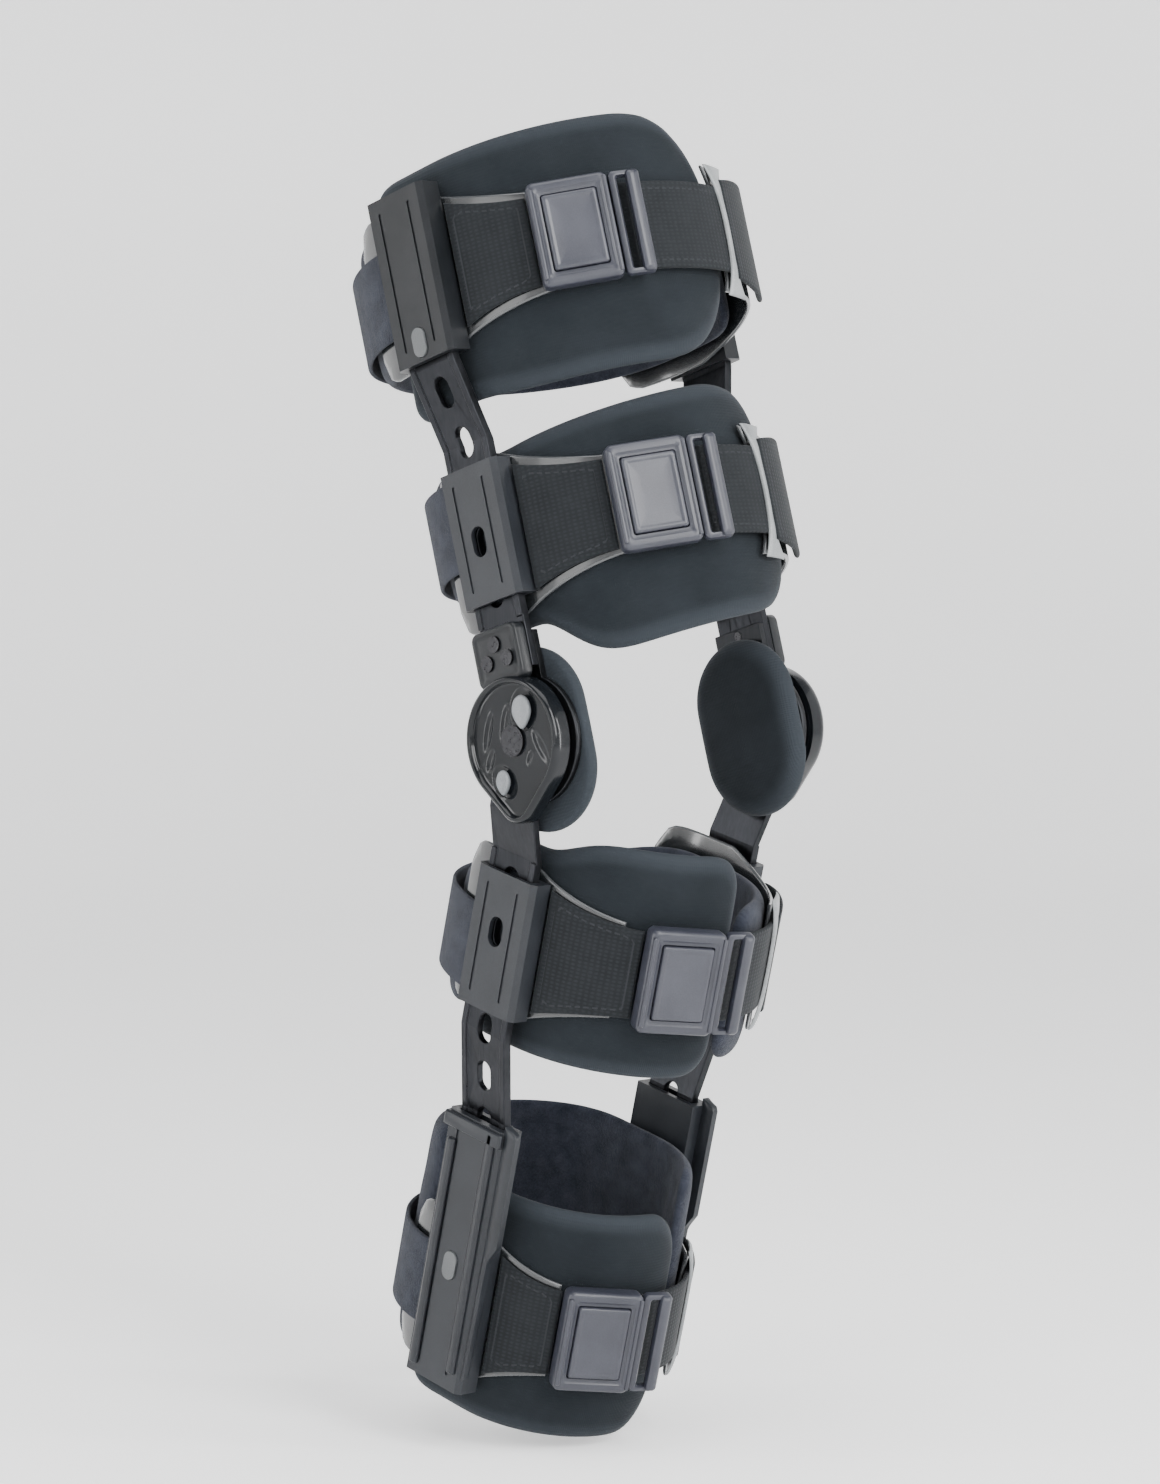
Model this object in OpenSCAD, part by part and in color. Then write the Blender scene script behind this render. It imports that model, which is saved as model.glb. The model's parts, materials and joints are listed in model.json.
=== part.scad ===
// Hinged knee brace: two telescoping side bars, dial hinges, four padded cuffs and buckled straps.
// The origin is the middle of the knee axis, +X points forward, +Y to the medial side, +Z up.
// Lists of four hold the upper thigh, lower thigh, upper calf and lower calf cuffs, in that order.

/* [Posture] */
// Lean of the thigh half behind the vertical
thigh_lean = 16; // [10:1:22]
// Lean of the shank half behind the vertical
shank_lean = 14; // [8:1:20]

/* [Bars] */
// Width of a side bar
bar_w = 27; // [23:1:32]
// Thickness of a side bar
bar_t = 3.5; // [2.5:0.5:4.5]
// Height of the raised ribs along a bar's edges
rib_h = 0.8; // [0.4:0.1:1.2]
// Width of each rib
rib_w = 3.2; // [2:0.1:5]
// Width of the adjustment slots in a bar
slot_w = 8; // [5:0.5:10]
// Length of the adjustment slots in a bar
slot_l = 13; // [10:0.5:16]
// Distance from one adjustment slot to the next
slot_pitch = 21.5; // [18:0.5:26]
// Distance from the centre plane to the bars' middle plane at each cuff
bar_y = [82, 72, 66, 57]; // [50:1:90]
// Gap between the end of a bar and the closed end of its sleeve
bar_end_gap = 4; // [2:1:12]

/* [Cuffs] */
// Distance from the limb's axis to the centre of curvature of each cuff's front half
front_flat = [3, 8, 5, 6]; // [2:1:12]
// Distance from the limb's axis to the centre of curvature of each cuff's back half
back_flat = [11, 8, 11, 18]; // [2:1:20]
// Distance from the knee to each cuff's strap
strap_s = [199, 86, 87, 251]; // [84:1:300]
// Thickness of the pads
pad_t = 7; // [5:0.5:9]
// Reach of each front pad from its strap towards the knee
front_pad_near = [55, 52, 51, 52]; // [40:1:60]
// Reach of each front pad from its strap away from the knee
front_pad_far = [53, 48, 47, 50]; // [40:1:60]
// Rise of each front pad away from the knee towards its medial end, for each millimetre round the limb
front_pad_tilt = [0.04, 0.12, 0, 0]; // [0:0.01:0.2]
// Lift of each front pad's knee-side edge beside the hinge
front_pad_lift = [4, 25, 10, 0]; // [0:1:26]
// Medial end of each front pad, as an angle round the limb from the lateral bar
front_pad_end = [110, 138, 96, 116]; // [90:1:150]
// Radius of the corners of each front pad's medial end
front_pad_corner = [46, 44, 16, 24]; // [10:1:46]
// Reach of each back pad from its strap towards the knee
back_pad_near = [29, 24, 27, 66]; // [20:1:70]
// Reach of each back pad from its strap away from the knee
back_pad_far = [33, 38, 42, 38]; // [30:1:50]
// Medial start of each back pad, as an angle round the limb from the lateral bar
back_pad_start = [152, 149, 101, 124]; // [95:1:170]
// Depth of the scoop in each back pad's knee-side edge
back_scoop = [4, 16, 20, 4]; // [0:1:22]

/* [Wings and straps] */
// Thickness of the moulded wing plates
wing_t = 2; // [1.5:0.1:2.5]
// Height of a wing plate beside its bar
wing_h = 70; // [60:1:76]
// Height of a lateral wing plate at its front tip
wing_tip_h = 42; // [40:1:50]
// Height of a medial wing plate at its flared front edge
wing_flare_h = 56; // [50:1:64]
// Front edge of each medial wing plate, as an angle round the limb
medial_wing_front = [104, 101, 120, 128]; // [95:1:140]
// Width of the strap webbing
web_w = 38; // [30:1:40]
// Distance that the strap behind each cuff lies further from the knee than the strap in front
back_strap_shift = [0, 11, 10, 0]; // [0:1:14]
// Thickness of the strap webbing
web_t = 2; // [1.5:0.1:2.5]
// Width of the strap panel beside the lateral bar
panel_w = 54; // [46:1:58]

/* [Sleeves and carriages] */
// Side wall of the sleeves and carriages, beside the bar
sleeve_side = 3.7; // [3.2:0.1:5]
// Outer wall of the sleeves
sleeve_wall = 3.4; // [2.5:0.1:4.5]
// Outer wall of the carriages
carriage_wall = 2.2; // [1.8:0.1:3.5]
// Reach of each sleeve or carriage from its strap towards the knee
housing_near = [36, 27, 29, 83]; // [24:1:86]
// Reach of each sleeve or carriage from its strap away from the knee
housing_far = [37, 31, 31, 36]; // [24:1:50]
// Distance from a thigh sleeve's open end to its length button
thigh_button_s = 8; // [7:0.5:20]
// Distance from a shank sleeve's open end to its length button
shank_button_s = 66; // [7:0.5:80]
// Travel of the middle cuffs along the bars, away from the knee
cuff_travel = 8; // [4:1:12]

/* [Buckles] */
// Angle of each buckle round the limb from the lateral bar
buckle_angle = [50, 56, 67, 63]; // [45:1:80]
// Length of a buckle body round the limb
buckle_l = 34; // [30:1:38]
// Width of a buckle body beyond each edge of the webbing
buckle_margin = 3.5; // [2.5:0.1:6]
// Thickness of a buckle body
buckle_t = 9; // [9:0.5:12]
// Width of a buckle's frame at the two ends of its push button
push_end_frame = 5.5; // [5:0.1:8]
// Width of a buckle's frame along the two sides of its push button
push_side_frame = 6.5; // [6:0.1:9]
// Travel of the push button
push_travel = 1.8; // [1:0.1:2]

/* [Hinges] */
// Radius of the round hinge plates
hinge_r = 27; // [25:1:30]
// Radius of the shank bars' round heads
head_r = 24; // [21:1:24]
// Thickness of the inner hinge plates
base_t = 3; // [2:0.5:4]
// Thickness of the hinge covers
cover_t = 7; // [6:0.5:9]
// Radius of the hinge axles
axle_r = 4; // [3:0.5:5]
// Radius of the arc that the flexion stops follow
flexion_stop_r = 14; // [12:0.5:15]
// Radius of the arc that the extension stops follow
extension_stop_r = 20; // [19:0.5:21]
// Height of the condyle pads
condyle_h = 78; // [66:1:78]
// Width of the condyle pads
condyle_w = 56; // [46:1:60]
// Thickness of the condyle pads
condyle_t = 10; // [7:1:12]

/* [Hidden] */
$fn = 64;

// clearances
slide_gap = 0.3;
layer_gap = 0.3;
turn_gap = 0.2;
axle_gap = 0.05;
knob_gap = 0.25;

// colours
black_metal = [0.16, 0.17, 0.18];
black_plastic = [0.10, 0.11, 0.12];
grey_plastic = [0.27, 0.29, 0.33];
foam_colour = [0.13, 0.16, 0.19];
web_colour = [0.11, 0.13, 0.15];
loop_colour = [0.20, 0.22, 0.28];

// the layers of a cuff, as distances from its centres of curvature
bar_to_pad = 7;
function pad_r(c) = bar_y[c] - bar_to_pad;
function wing_r(c) = pad_r(c) + layer_gap;
function strap_r(c) = wing_r(c) + wing_t + layer_gap;

// hinge stack, outwards from the centre plane
hinge_y = bar_y[1];
neck_reach = 32;
base_y = hinge_y - bar_t / 2 - turn_gap - base_t;
cover_y = hinge_y + bar_t / 2 + turn_gap;
thigh_bar_start = hinge_r + 1.5;
rivet_start = thigh_bar_start + 5.5;
rivet_spots = [[-6, rivet_start], [6, rivet_start], [0, rivet_start + 7]];
rivet_r = 2;
cover_rim = 3;
rivet_head_r = 3.4;
base_neck = rivet_spots[2][1] + rivet_r + 1;
cover_neck = rivet_spots[2][1] + rivet_head_r + cover_rim + 0.6;
cover_recess = 1.2;
stop_pocket = 3.5;
stop_slot_w = 5;
flexion_stop_angle = 50;
extension_stop_angle = 238;
stop_swing = 24;

// where each sleeve or carriage starts and ends
function housing_span(c) = [strap_s[c] - housing_near[c], strap_s[c] + housing_far[c]];
function button_s(c) = housing_span(c)[0] + (c == 0 ? thigh_button_s : shank_button_s);

// the bars run parallel to the limb through each cuff's travel, and bend between the cuffs
end_wall = 2;
bend_margin = 2;
near_travel = 6;
thigh_bar_end = housing_span(0)[1] - end_wall - bar_end_gap;
shank_bar_end = housing_span(3)[1] - end_wall - bar_end_gap;
thigh_straight = [
    [hinge_y, housing_span(1)[1] + cuff_travel + bend_margin],
    [bar_y[0], housing_span(0)[0] - bend_margin], [bar_y[0], thigh_bar_end]
];
thigh_path = concat([[hinge_y, thigh_bar_start]], thigh_straight);
thigh_rib_path = concat([[hinge_y, cover_neck + 2]], thigh_straight);
shank_rib_path = [
    [bar_y[2], housing_span(2)[0] - near_travel - bend_margin],
    [bar_y[2], housing_span(2)[1] + cuff_travel + bend_margin],
    [bar_y[3], housing_span(3)[0] - bend_margin], [bar_y[3], shank_bar_end]
];
shank_path = concat([[hinge_y, neck_reach]], shank_rib_path);
slot_end_margin = 2.5;

// wings, straps and pads round a cuff
wing_back_angle = 24;
wing_front_angle = 44;
front_pad_start = -15;
back_pad_end = 340;
strap_overlap = 14;
panel_margin = 1;
small_corner = 12;
angle_step = 4;

// a carriage or sleeve round its bar
channel_w = bar_w + 2 * slide_gap;
channel_low = -bar_t / 2 - slide_gap;
channel_high = bar_t / 2 + rib_h + slide_gap;
sleeve_w = channel_w + 2 * sleeve_side;
housing_low = wing_t + layer_gap - bar_to_pad;

// a bar's slots are counted from the one under its length button, and a carriage's window faces the
// slot that is nearest to its strap
function window_s(c) = c == 0 || c == 3 ? button_s(c)
    : let (anchor = button_s(c == 1 ? 0 : 3)) anchor + slot_pitch * round((strap_s[c] - anchor) / slot_pitch);

// sizes inside a buckle, measured outwards from its underside
buckle_base = 0.5;
buckle_floor = 1.3;
tongue_t = 2;
tongue_reach = 14;
buckle_side = 2.6;
tongue_inset = 2.9;
buckle_lip = 2;
buckle_w = web_w + 2 * buckle_margin;
tongue_w = buckle_w - 2 * (buckle_side + tongue_inset);
push_l = buckle_l - 2 * push_end_frame;
push_w = buckle_w - 2 * push_side_frame;
push_t = buckle_t - buckle_floor - tongue_t - push_travel;

// ---------------------------------------------------------------- placing

// Thigh pieces are drawn with z as the distance from the knee up the limb.
module on_thigh() rotate([0, -thigh_lean, 0]) children();

// Shank pieces are drawn with z as the distance from the knee down the limb.
module on_shank() rotate([0, shank_lean, 0]) mirror([0, 0, 1]) children();

module on_limb(c) {
    if (c < 2) on_thigh() children();
    else on_shank() children();
}

module on_side(side) {
    if (side == "medial") mirror([0, 1, 0]) children();
    else children();
}

module both_sides() {
    children();
    mirror([0, 1, 0]) children();
}

// x points out of the cuff, y round it towards the medial side, z along the limb
module at_angle(c, angle) translate([front_flat[c], 0, strap_s[c]]) rotate(angle - 90) children();

// a flat plate on the lateral side, drawn in x and z, starting at distance y from the centre plane
module plate(y, thickness) rotate([90, 0, 0]) translate([0, 0, y]) linear_extrude(thickness) children();

// a strip of width w that follows a path of [distance from the centre plane, distance from the knee]
module strip(path, w, low, high)
    rotate([90, 0, -90]) linear_extrude(w, center = true)
        polygon(concat(
            [for (p = path) [p[0] + low, p[1]]],
            [for (i = [len(path) - 1:-1:0]) [path[i][0] + high, path[i][1]]]
        ));

module oblong(w, l) {
    square([w, l - w], center = true);
    for (end = [-1, 1]) translate([0, end * (l - w) / 2]) circle(w / 2);
}

// ---------------------------------------------------------------- curved walls

// A cuff's cross-section is two half circles, front and back, joined by flat sides.
function ring_point(c, r, a) = [(sin(a) >= 0 ? front_flat[c] : -back_flat[c]) + r * sin(a), -r * cos(a)];

// how far a rounded corner of radius c cuts in, at distance d from the end
function corner_cut(d, c) = d >= c ? 0 : c - sqrt(c * c - (c - d) * (c - d));

// angles from a0 to a1, close together in the corners and even between them
function wall_angles(a0, a1, r, c0, c1) =
    let (per_mm = 180 / PI / r, b0 = a0 + c0 * per_mm, b1 = a1 - c1 * per_mm,
        steps = ceil((b1 - b0) / angle_step))
    concat(
        [for (k = [0:15:75]) a0 + c0 * (1 - cos(k)) * per_mm],
        [for (i = [0:steps]) b0 + (b1 - b0) * i / steps],
        [for (k = [75:-15:0]) a1 - c1 * (1 - cos(k)) * per_mm]
    );

// A wall of cuff c between radii r0 and r1. Each row is [angle, lower edge, upper edge].
module wall(c, r0, r1, rows) {
    points = [for (row = rows) for (corner = [[r0, 1], [r1, 1], [r1, 2], [r0, 2]])
        let (p = ring_point(c, corner[0], row[0])) [p[0], p[1], row[corner[1]]]];
    last = 4 * (len(rows) - 1);
    sides = [for (i = [0:4:last - 4]) for (k = [0:3])
        let (a = i + k, b = i + (k + 1) % 4) each [[a, b, b + 4], [a, b + 4, a + 4]]];
    ends = [[3, 2, 1], [3, 1, 0], [last, last + 1, last + 2], [last, last + 2, last + 3]];
    polyhedron(points, concat(sides, ends));
}

// A pad: its knee-side edge is lifted beside the hinges and scooped at the back of the limb. A tilt
// lowers both edges towards the lateral side, and raises the knee-side edge towards the medial side.
function pad_rows(r, a0, a1, low, high, c0, c1, tilt, lift, scoop) =
    [for (a = wall_angles(a0, a1, r, c0, c1))
        let (mm = r * PI / 180, cut = corner_cut((a - a0) * mm, c0) + corner_cut((a1 - a) * mm, c1),
            rise = tilt * (a - 90) * mm, side_lift = lift * pow(cos(a), 16),
            edge = low + rise + side_lift + scoop * pow(max(0, -sin(a)), 2))
        [a, edge + cut, high + min(rise, 0) - cut]];

// height of a plate or strap that narrows in a curve from h0 to h1, by dip more than a straight line
function waist(t, h0, h1, dip) = h0 + (h1 - h0) * t - 4 * dip * t * (1 - t);

function waist_rows(s, a0, a1, h0, h1, dip, corner, r) =
    let (steps = ceil(abs(a1 - a0) / angle_step))
    [for (i = [0:steps])
        let (t = i / steps, a = a0 + (a1 - a0) * t, mm = r * PI / 180,
            cut = corner_cut(abs(a - a0) * mm, corner), h = waist(t, h0, h1, dip) / 2 - cut)
        [a, s - h, s + h]];

// ---------------------------------------------------------------- bars and hinges

// slots a whole number of pitches from the one at anchor, between two ends of a bar
module slot_row(anchor, ends) {
    first = ceil((ends[0] + slot_l / 2 + slot_end_margin - anchor) / slot_pitch);
    last = floor((ends[1] - slot_l / 2 - slot_end_margin - anchor) / slot_pitch);
    for (k = [first:last]) translate([0, anchor + k * slot_pitch]) oblong(slot_w, slot_l);
}

module bar(path, rib_path, anchor) {
    ends = [rib_path[0][1], path[len(path) - 1][1]];
    difference() {
        union() {
            strip(path, bar_w, -bar_t / 2, bar_t / 2);
            for (edge = [-1, 1]) translate([edge * (bar_w - rib_w) / 2, 0, 0])
                strip(rib_path, rib_w, -bar_t / 2, bar_t / 2 + rib_h);
        }
        plate(bar_y[3] - bar_t, bar_y[0] - bar_y[3] + 3 * bar_t) slot_row(anchor, ends);
    }
}

module thigh_bar() color(black_metal) on_thigh() difference() {
    bar(thigh_path, thigh_rib_path, button_s(0));
    plate(hinge_y - bar_t, 2 * bar_t) {
        circle(head_r + 1.5);
        for (spot = rivet_spots) translate(spot) circle(rivet_r);
    }
}

module shank_bar() color(black_metal) on_shank() difference() {
    union() {
        bar(shank_path, shank_rib_path, button_s(3));
        plate(hinge_y - bar_t / 2, bar_t) {
            circle(head_r);
            translate([-bar_w / 2, 0]) square([bar_w, neck_reach]);
        }
    }
    plate(hinge_y - bar_t, 2 * bar_t) circle(axle_r + axle_gap);
}

module hinge_base() color(black_metal) on_thigh() plate(base_y, base_t) difference() {
    union() {
        circle(hinge_r);
        translate([-bar_w / 2, 0]) square([bar_w, base_neck]);
    }
    circle(axle_r);
    for (spot = rivet_spots) translate(spot) circle(rivet_r);
}

// The cover's outline is a disc that tapers down to a blunt nose over the shank bar.
module cover_outline() {
    nose_r = 10;
    hull() {
        circle(hinge_r);
        translate([-4, -hinge_r + 3]) circle(nose_r);
    }
    translate([-bar_w / 2, 0]) square([bar_w, cover_neck]);
}

module arc_slot(r, w, middle, swing) {
    intersection() {
        difference() {
            circle(r + w / 2);
            circle(r - w / 2);
        }
        polygon([[0, 0], for (k = [-1:0.5:1]) 2 * r * [cos(middle + k * swing), sin(middle + k * swing)]]);
    }
    for (k = [-1, 1])
        translate(r * [cos(middle + k * swing), sin(middle + k * swing)]) circle(w / 2);
}

module stop_slots(extra) {
    arc_slot(flexion_stop_r, stop_slot_w + extra, flexion_stop_angle, stop_swing);
    arc_slot(extension_stop_r, stop_slot_w + extra, extension_stop_angle, stop_swing);
}

module hinge_cover() color(black_plastic) on_thigh() difference() {
    plate(cover_y, cover_t) cover_outline();
    plate(cover_y + cover_t - cover_recess, cover_t) offset(delta = -cover_rim) cover_outline();
    plate(cover_y + cover_t - cover_recess - stop_pocket, cover_t) stop_slots(0);
    plate(cover_y - 1, cover_t + 2) circle(axle_r);
    for (spot = rivet_spots) plate(cover_y - 1, cover_t + 2) translate(spot) circle(rivet_r);
}

module hinge_axle() on_thigh() {
    head_t = 1.2;
    plate(base_y, cover_y + cover_t - cover_recess - base_y) circle(axle_r);
    plate(cover_y + cover_t - cover_recess, head_t) circle(axle_r + 2.5);
}

module hinge_rivet_set() on_thigh() for (spot = rivet_spots) {
    plate(base_y, cover_y + cover_t - cover_recess - base_y) translate(spot) circle(rivet_r);
    plate(cover_y + cover_t - cover_recess, 1) translate(spot) circle(rivet_head_r);
}

module condyle_pad() color(foam_colour) on_thigh()
    plate(base_y - condyle_t, condyle_t) oblong(condyle_w, condyle_h);

// A stop is a stem in its arc slot with an oval grip above the cover.
module dial_stop(r, angle) color(grey_plastic) on_thigh() {
    floor_y = cover_y + cover_t - cover_recess;
    plate(floor_y - stop_pocket + layer_gap, stop_pocket)
        translate(r * [cos(angle), sin(angle)]) circle(stop_slot_w / 2 - knob_gap);
    plate(floor_y + layer_gap, 2.4)
        rotate(angle) translate([r, 0]) oblong(stop_slot_w + 2, 11);
}

module flexion_stop() dial_stop(flexion_stop_r, flexion_stop_angle);
module extension_stop() dial_stop(extension_stop_r, extension_stop_angle);

// ---------------------------------------------------------------- carriages and sleeves

// cross-section of a housing round a bar, with chamfered outer corners
module housing_section(c, w, wall_t) {
    out = channel_high + wall_t;
    chamfer = 2.2;
    translate([0, -bar_y[c]]) difference() {
        polygon([
            [-w / 2, -housing_low], [w / 2, -housing_low], [w / 2, -out + chamfer],
            [w / 2 - chamfer, -out], [-w / 2 + chamfer, -out], [-w / 2, -out + chamfer]
        ]);
        translate([-channel_w / 2, -channel_high]) square([channel_w, channel_high - channel_low]);
    }
}

module housing(c, w, wall_t) on_limb(c) difference() {
    span = housing_span(c);
    translate([0, 0, span[0]]) linear_extrude(span[1] - span[0]) housing_section(c, w, wall_t);
    plate(bar_y[c], 3 * bar_t) translate([0, window_s(c)]) oblong(slot_w, slot_l);
    for (x = [-1, 1]) plate(bar_y[c] + channel_high + wall_t - 0.6, 2)
        translate([x * bar_w / 3, (span[0] + span[1]) / 2]) oblong(1.6, span[1] - span[0] - 12);
}

module end_cap(c) on_limb(c)
    translate([-channel_w / 2, -bar_y[c] - channel_high, housing_span(c)[1] - end_wall])
        cube([channel_w, channel_high - channel_low, end_wall]);

module carriages(c) color(black_plastic) both_sides() housing(c, sleeve_w, carriage_wall);

module sleeves(c) color(black_plastic) both_sides() {
    housing(c, sleeve_w, sleeve_wall);
    end_cap(c);
}

// The button stands in the sleeve's window, over one of the bar's slots.
module length_button(c) color(grey_plastic) on_limb(c)
    plate(bar_y[c] + channel_high, sleeve_wall + 0.8)
        translate([0, window_s(c)]) oblong(slot_w - 2 * knob_gap, slot_l - 2 * knob_gap);

// ---------------------------------------------------------------- wings, pads and straps

module wings(c) color(black_plastic) on_limb(c) {
    r0 = wing_r(c);
    r1 = r0 + wing_t;
    wall(c, r0, r1, concat(
        [for (row = waist_rows(strap_s[c], -wing_back_angle, 0, wing_h, wing_h, 0, small_corner, r1))
            if (row[0] < -1) row],
        waist_rows(strap_s[c], 1, wing_front_angle, wing_h, wing_tip_h, 4, 0, r1)
    ));
    back = waist_rows(strap_s[c], 180 + wing_back_angle, 180, wing_h, wing_h, 0, small_corner, r1);
    wall(c, r0, r1, concat(
        waist_rows(strap_s[c], medial_wing_front[c], 179, wing_flare_h, wing_h, 10, 0, r1),
        [for (i = [len(back) - 1:-1:0]) if (back[i][0] > 181) back[i]]
    ));
}

module front_pad(c) color(foam_colour) on_limb(c)
    wall(c, pad_r(c) - pad_t, pad_r(c), pad_rows(pad_r(c), front_pad_start, front_pad_end[c],
        strap_s[c] - front_pad_near[c], strap_s[c] + front_pad_far[c], small_corner, front_pad_corner[c],
        front_pad_tilt[c], front_pad_lift[c], 0));

module back_pad(c) color(loop_colour) on_limb(c)
    wall(c, pad_r(c) - pad_t, pad_r(c), pad_rows(pad_r(c), back_pad_start[c], back_pad_end,
        strap_s[c] - back_pad_near[c], strap_s[c] + back_pad_far[c], small_corner, small_corner, 0, 0,
        back_scoop[c]));

// angle at which a strap clears the sleeve or carriage beside it
function housing_angle(c, flat) = asin((sleeve_w / 2 + panel_margin - flat) / strap_r(c));

// angle that a half buckle takes up round the limb, at the strap's radius
function buckle_half_angle(c, l) = atan((l + slide_gap) / (strap_r(c)));

module front_strap(c) color(web_colour) on_limb(c) {
    r0 = strap_r(c);
    panel_end = buckle_angle[c] - buckle_half_angle(c, buckle_l / 2);
    end_start = buckle_angle[c] + buckle_half_angle(c, buckle_l / 2 + tongue_reach);
    wall(c, r0, r0 + web_t,
        waist_rows(strap_s[c], housing_angle(c, front_flat[c]), panel_end, panel_w, web_w, 3, 0, r0));
    wall(c, r0, r0 + web_t,
        waist_rows(strap_s[c], end_start, medial_wing_front[c] + strap_overlap, web_w, web_w, 0, 0, r0));
}

module back_strap(c) color(web_colour) on_limb(c)
    wall(c, strap_r(c), strap_r(c) + web_t,
        let (gap = housing_angle(c, back_flat[c]))
            waist_rows(strap_s[c] + back_strap_shift[c], 180 + gap, 360 - gap, web_w, web_w, 0, 0, strap_r(c)));

// ---------------------------------------------------------------- buckles

module block(x, y, z) translate([x[0], y[0], z[0]]) cube([x[1] - x[0], y[1] - y[0], z[1] - z[0]]);

module buckle_body(c) color(grey_plastic) on_limb(c) at_angle(c, buckle_angle[c]) {
    x0 = pad_r(c) + buckle_base + wing_t;
    inner_l = buckle_l / 2 - buckle_side;
    inner_w = buckle_w / 2 - buckle_side;
    difference() {
        block([x0, x0 + buckle_t], [-buckle_l / 2, buckle_l / 2], [-buckle_w / 2, buckle_w / 2]);
        block([x0 + buckle_floor, x0 + buckle_t - buckle_lip], [-inner_l, inner_l], [-inner_w, inner_w]);
        block([x0 + buckle_floor, x0 + buckle_floor + tongue_t + 2 * layer_gap], [0, buckle_l],
            [-tongue_w / 2 - layer_gap, tongue_w / 2 + layer_gap]);
        block([x0 + buckle_t - 2 * buckle_lip, x0 + 2 * buckle_t],
            [-push_l / 2 - knob_gap, push_l / 2 + knob_gap], [-push_w / 2 - knob_gap, push_w / 2 + knob_gap]);
    }
}

module buckle_tongue(c) color(grey_plastic) on_limb(c) at_angle(c, buckle_angle[c]) {
    x0 = pad_r(c) + buckle_base + wing_t + buckle_floor + layer_gap;
    outer = buckle_l / 2 + tongue_reach;
    slot_start = buckle_l / 2 + 4;
    difference() {
        union() {
            block([x0, x0 + tongue_t], [-buckle_l / 4, outer], [-tongue_w / 2, tongue_w / 2]);
            block([x0, x0 + 2 * tongue_t], [buckle_l / 2 + 1, outer], [-buckle_w / 2, buckle_w / 2]);
        }
        block([x0 - 1, x0 + 3 * tongue_t], [slot_start, slot_start + 4], [-web_w / 2 - 1, web_w / 2 + 1]);
    }
}

module push_button(c) color(grey_plastic) on_limb(c) at_angle(c, buckle_angle[c]) {
    x1 = pad_r(c) + buckle_base + wing_t + buckle_t;
    block([x1 - buckle_lip - layer_gap, x1 + 0.6], [-push_l / 2, push_l / 2], [-push_w / 2, push_w / 2]);
    block([x1 - buckle_lip - layer_gap - 1, x1 - buckle_lip - layer_gap],
        [-push_l / 2 - 1.5, push_l / 2 + 1.5], [-push_w / 2 - 1.5, push_w / 2 + 1.5]);
}

// ---------------------------------------------------------------- nodes

thigh_bar();  // lateral_thigh_bar
on_side("medial") thigh_bar();  // medial_thigh_bar
hinge_base();  // lateral_hinge_base
on_side("medial") hinge_base();  // medial_hinge_base
hinge_cover();  // lateral_hinge_cover
on_side("medial") hinge_cover();  // medial_hinge_cover
color("silver") both_sides() hinge_axle();  // hinge_axles
color("silver") both_sides() hinge_rivet_set();  // hinge_rivets
condyle_pad();  // lateral_condyle_pad
on_side("medial") condyle_pad();  // medial_condyle_pad
flexion_stop();  // lateral_flexion_stop
extension_stop();  // lateral_extension_stop
on_side("medial") flexion_stop();  // medial_flexion_stop
on_side("medial") extension_stop();  // medial_extension_stop
shank_bar();  // lateral_shank_bar
on_side("medial") shank_bar();  // medial_shank_bar

sleeves(0);  // upper_thigh_sleeves
wings(0);  // upper_thigh_wings
front_pad(0);  // upper_thigh_front_pad
back_pad(0);  // upper_thigh_back_pad
front_strap(0);  // upper_thigh_front_strap
back_strap(0);  // upper_thigh_back_strap
buckle_body(0);  // upper_thigh_buckle
buckle_tongue(0);  // upper_thigh_tongue
push_button(0);  // upper_thigh_push_button
length_button(0);  // lateral_thigh_length_button
on_side("medial") length_button(0);  // medial_thigh_length_button

carriages(1);  // lower_thigh_carriages
wings(1);  // lower_thigh_wings
front_pad(1);  // lower_thigh_front_pad
back_pad(1);  // lower_thigh_back_pad
front_strap(1);  // lower_thigh_front_strap
back_strap(1);  // lower_thigh_back_strap
buckle_body(1);  // lower_thigh_buckle
buckle_tongue(1);  // lower_thigh_tongue
push_button(1);  // lower_thigh_push_button

carriages(2);  // upper_calf_carriages
wings(2);  // upper_calf_wings
front_pad(2);  // upper_calf_front_pad
back_pad(2);  // upper_calf_back_pad
front_strap(2);  // upper_calf_front_strap
back_strap(2);  // upper_calf_back_strap
buckle_body(2);  // upper_calf_buckle
buckle_tongue(2);  // upper_calf_tongue
push_button(2);  // upper_calf_push_button

sleeves(3);  // lower_calf_sleeves
wings(3);  // lower_calf_wings
front_pad(3);  // lower_calf_front_pad
back_pad(3);  // lower_calf_back_pad
front_strap(3);  // lower_calf_front_strap
back_strap(3);  // lower_calf_back_strap
buckle_body(3);  // lower_calf_buckle
buckle_tongue(3);  // lower_calf_tongue
push_button(3);  // lower_calf_push_button
length_button(3);  // lateral_calf_length_button
on_side("medial") length_button(3);  // medial_calf_length_button
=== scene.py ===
"""Hinged knee brace: pads, straps, wings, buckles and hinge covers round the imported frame.

Sizes are in millimetres until a piece's mesh is made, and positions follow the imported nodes. A cuff's
cross-section is two half circles, in front and behind, joined by flat sides where the side bars lie.
"""
import json
import math

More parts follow.
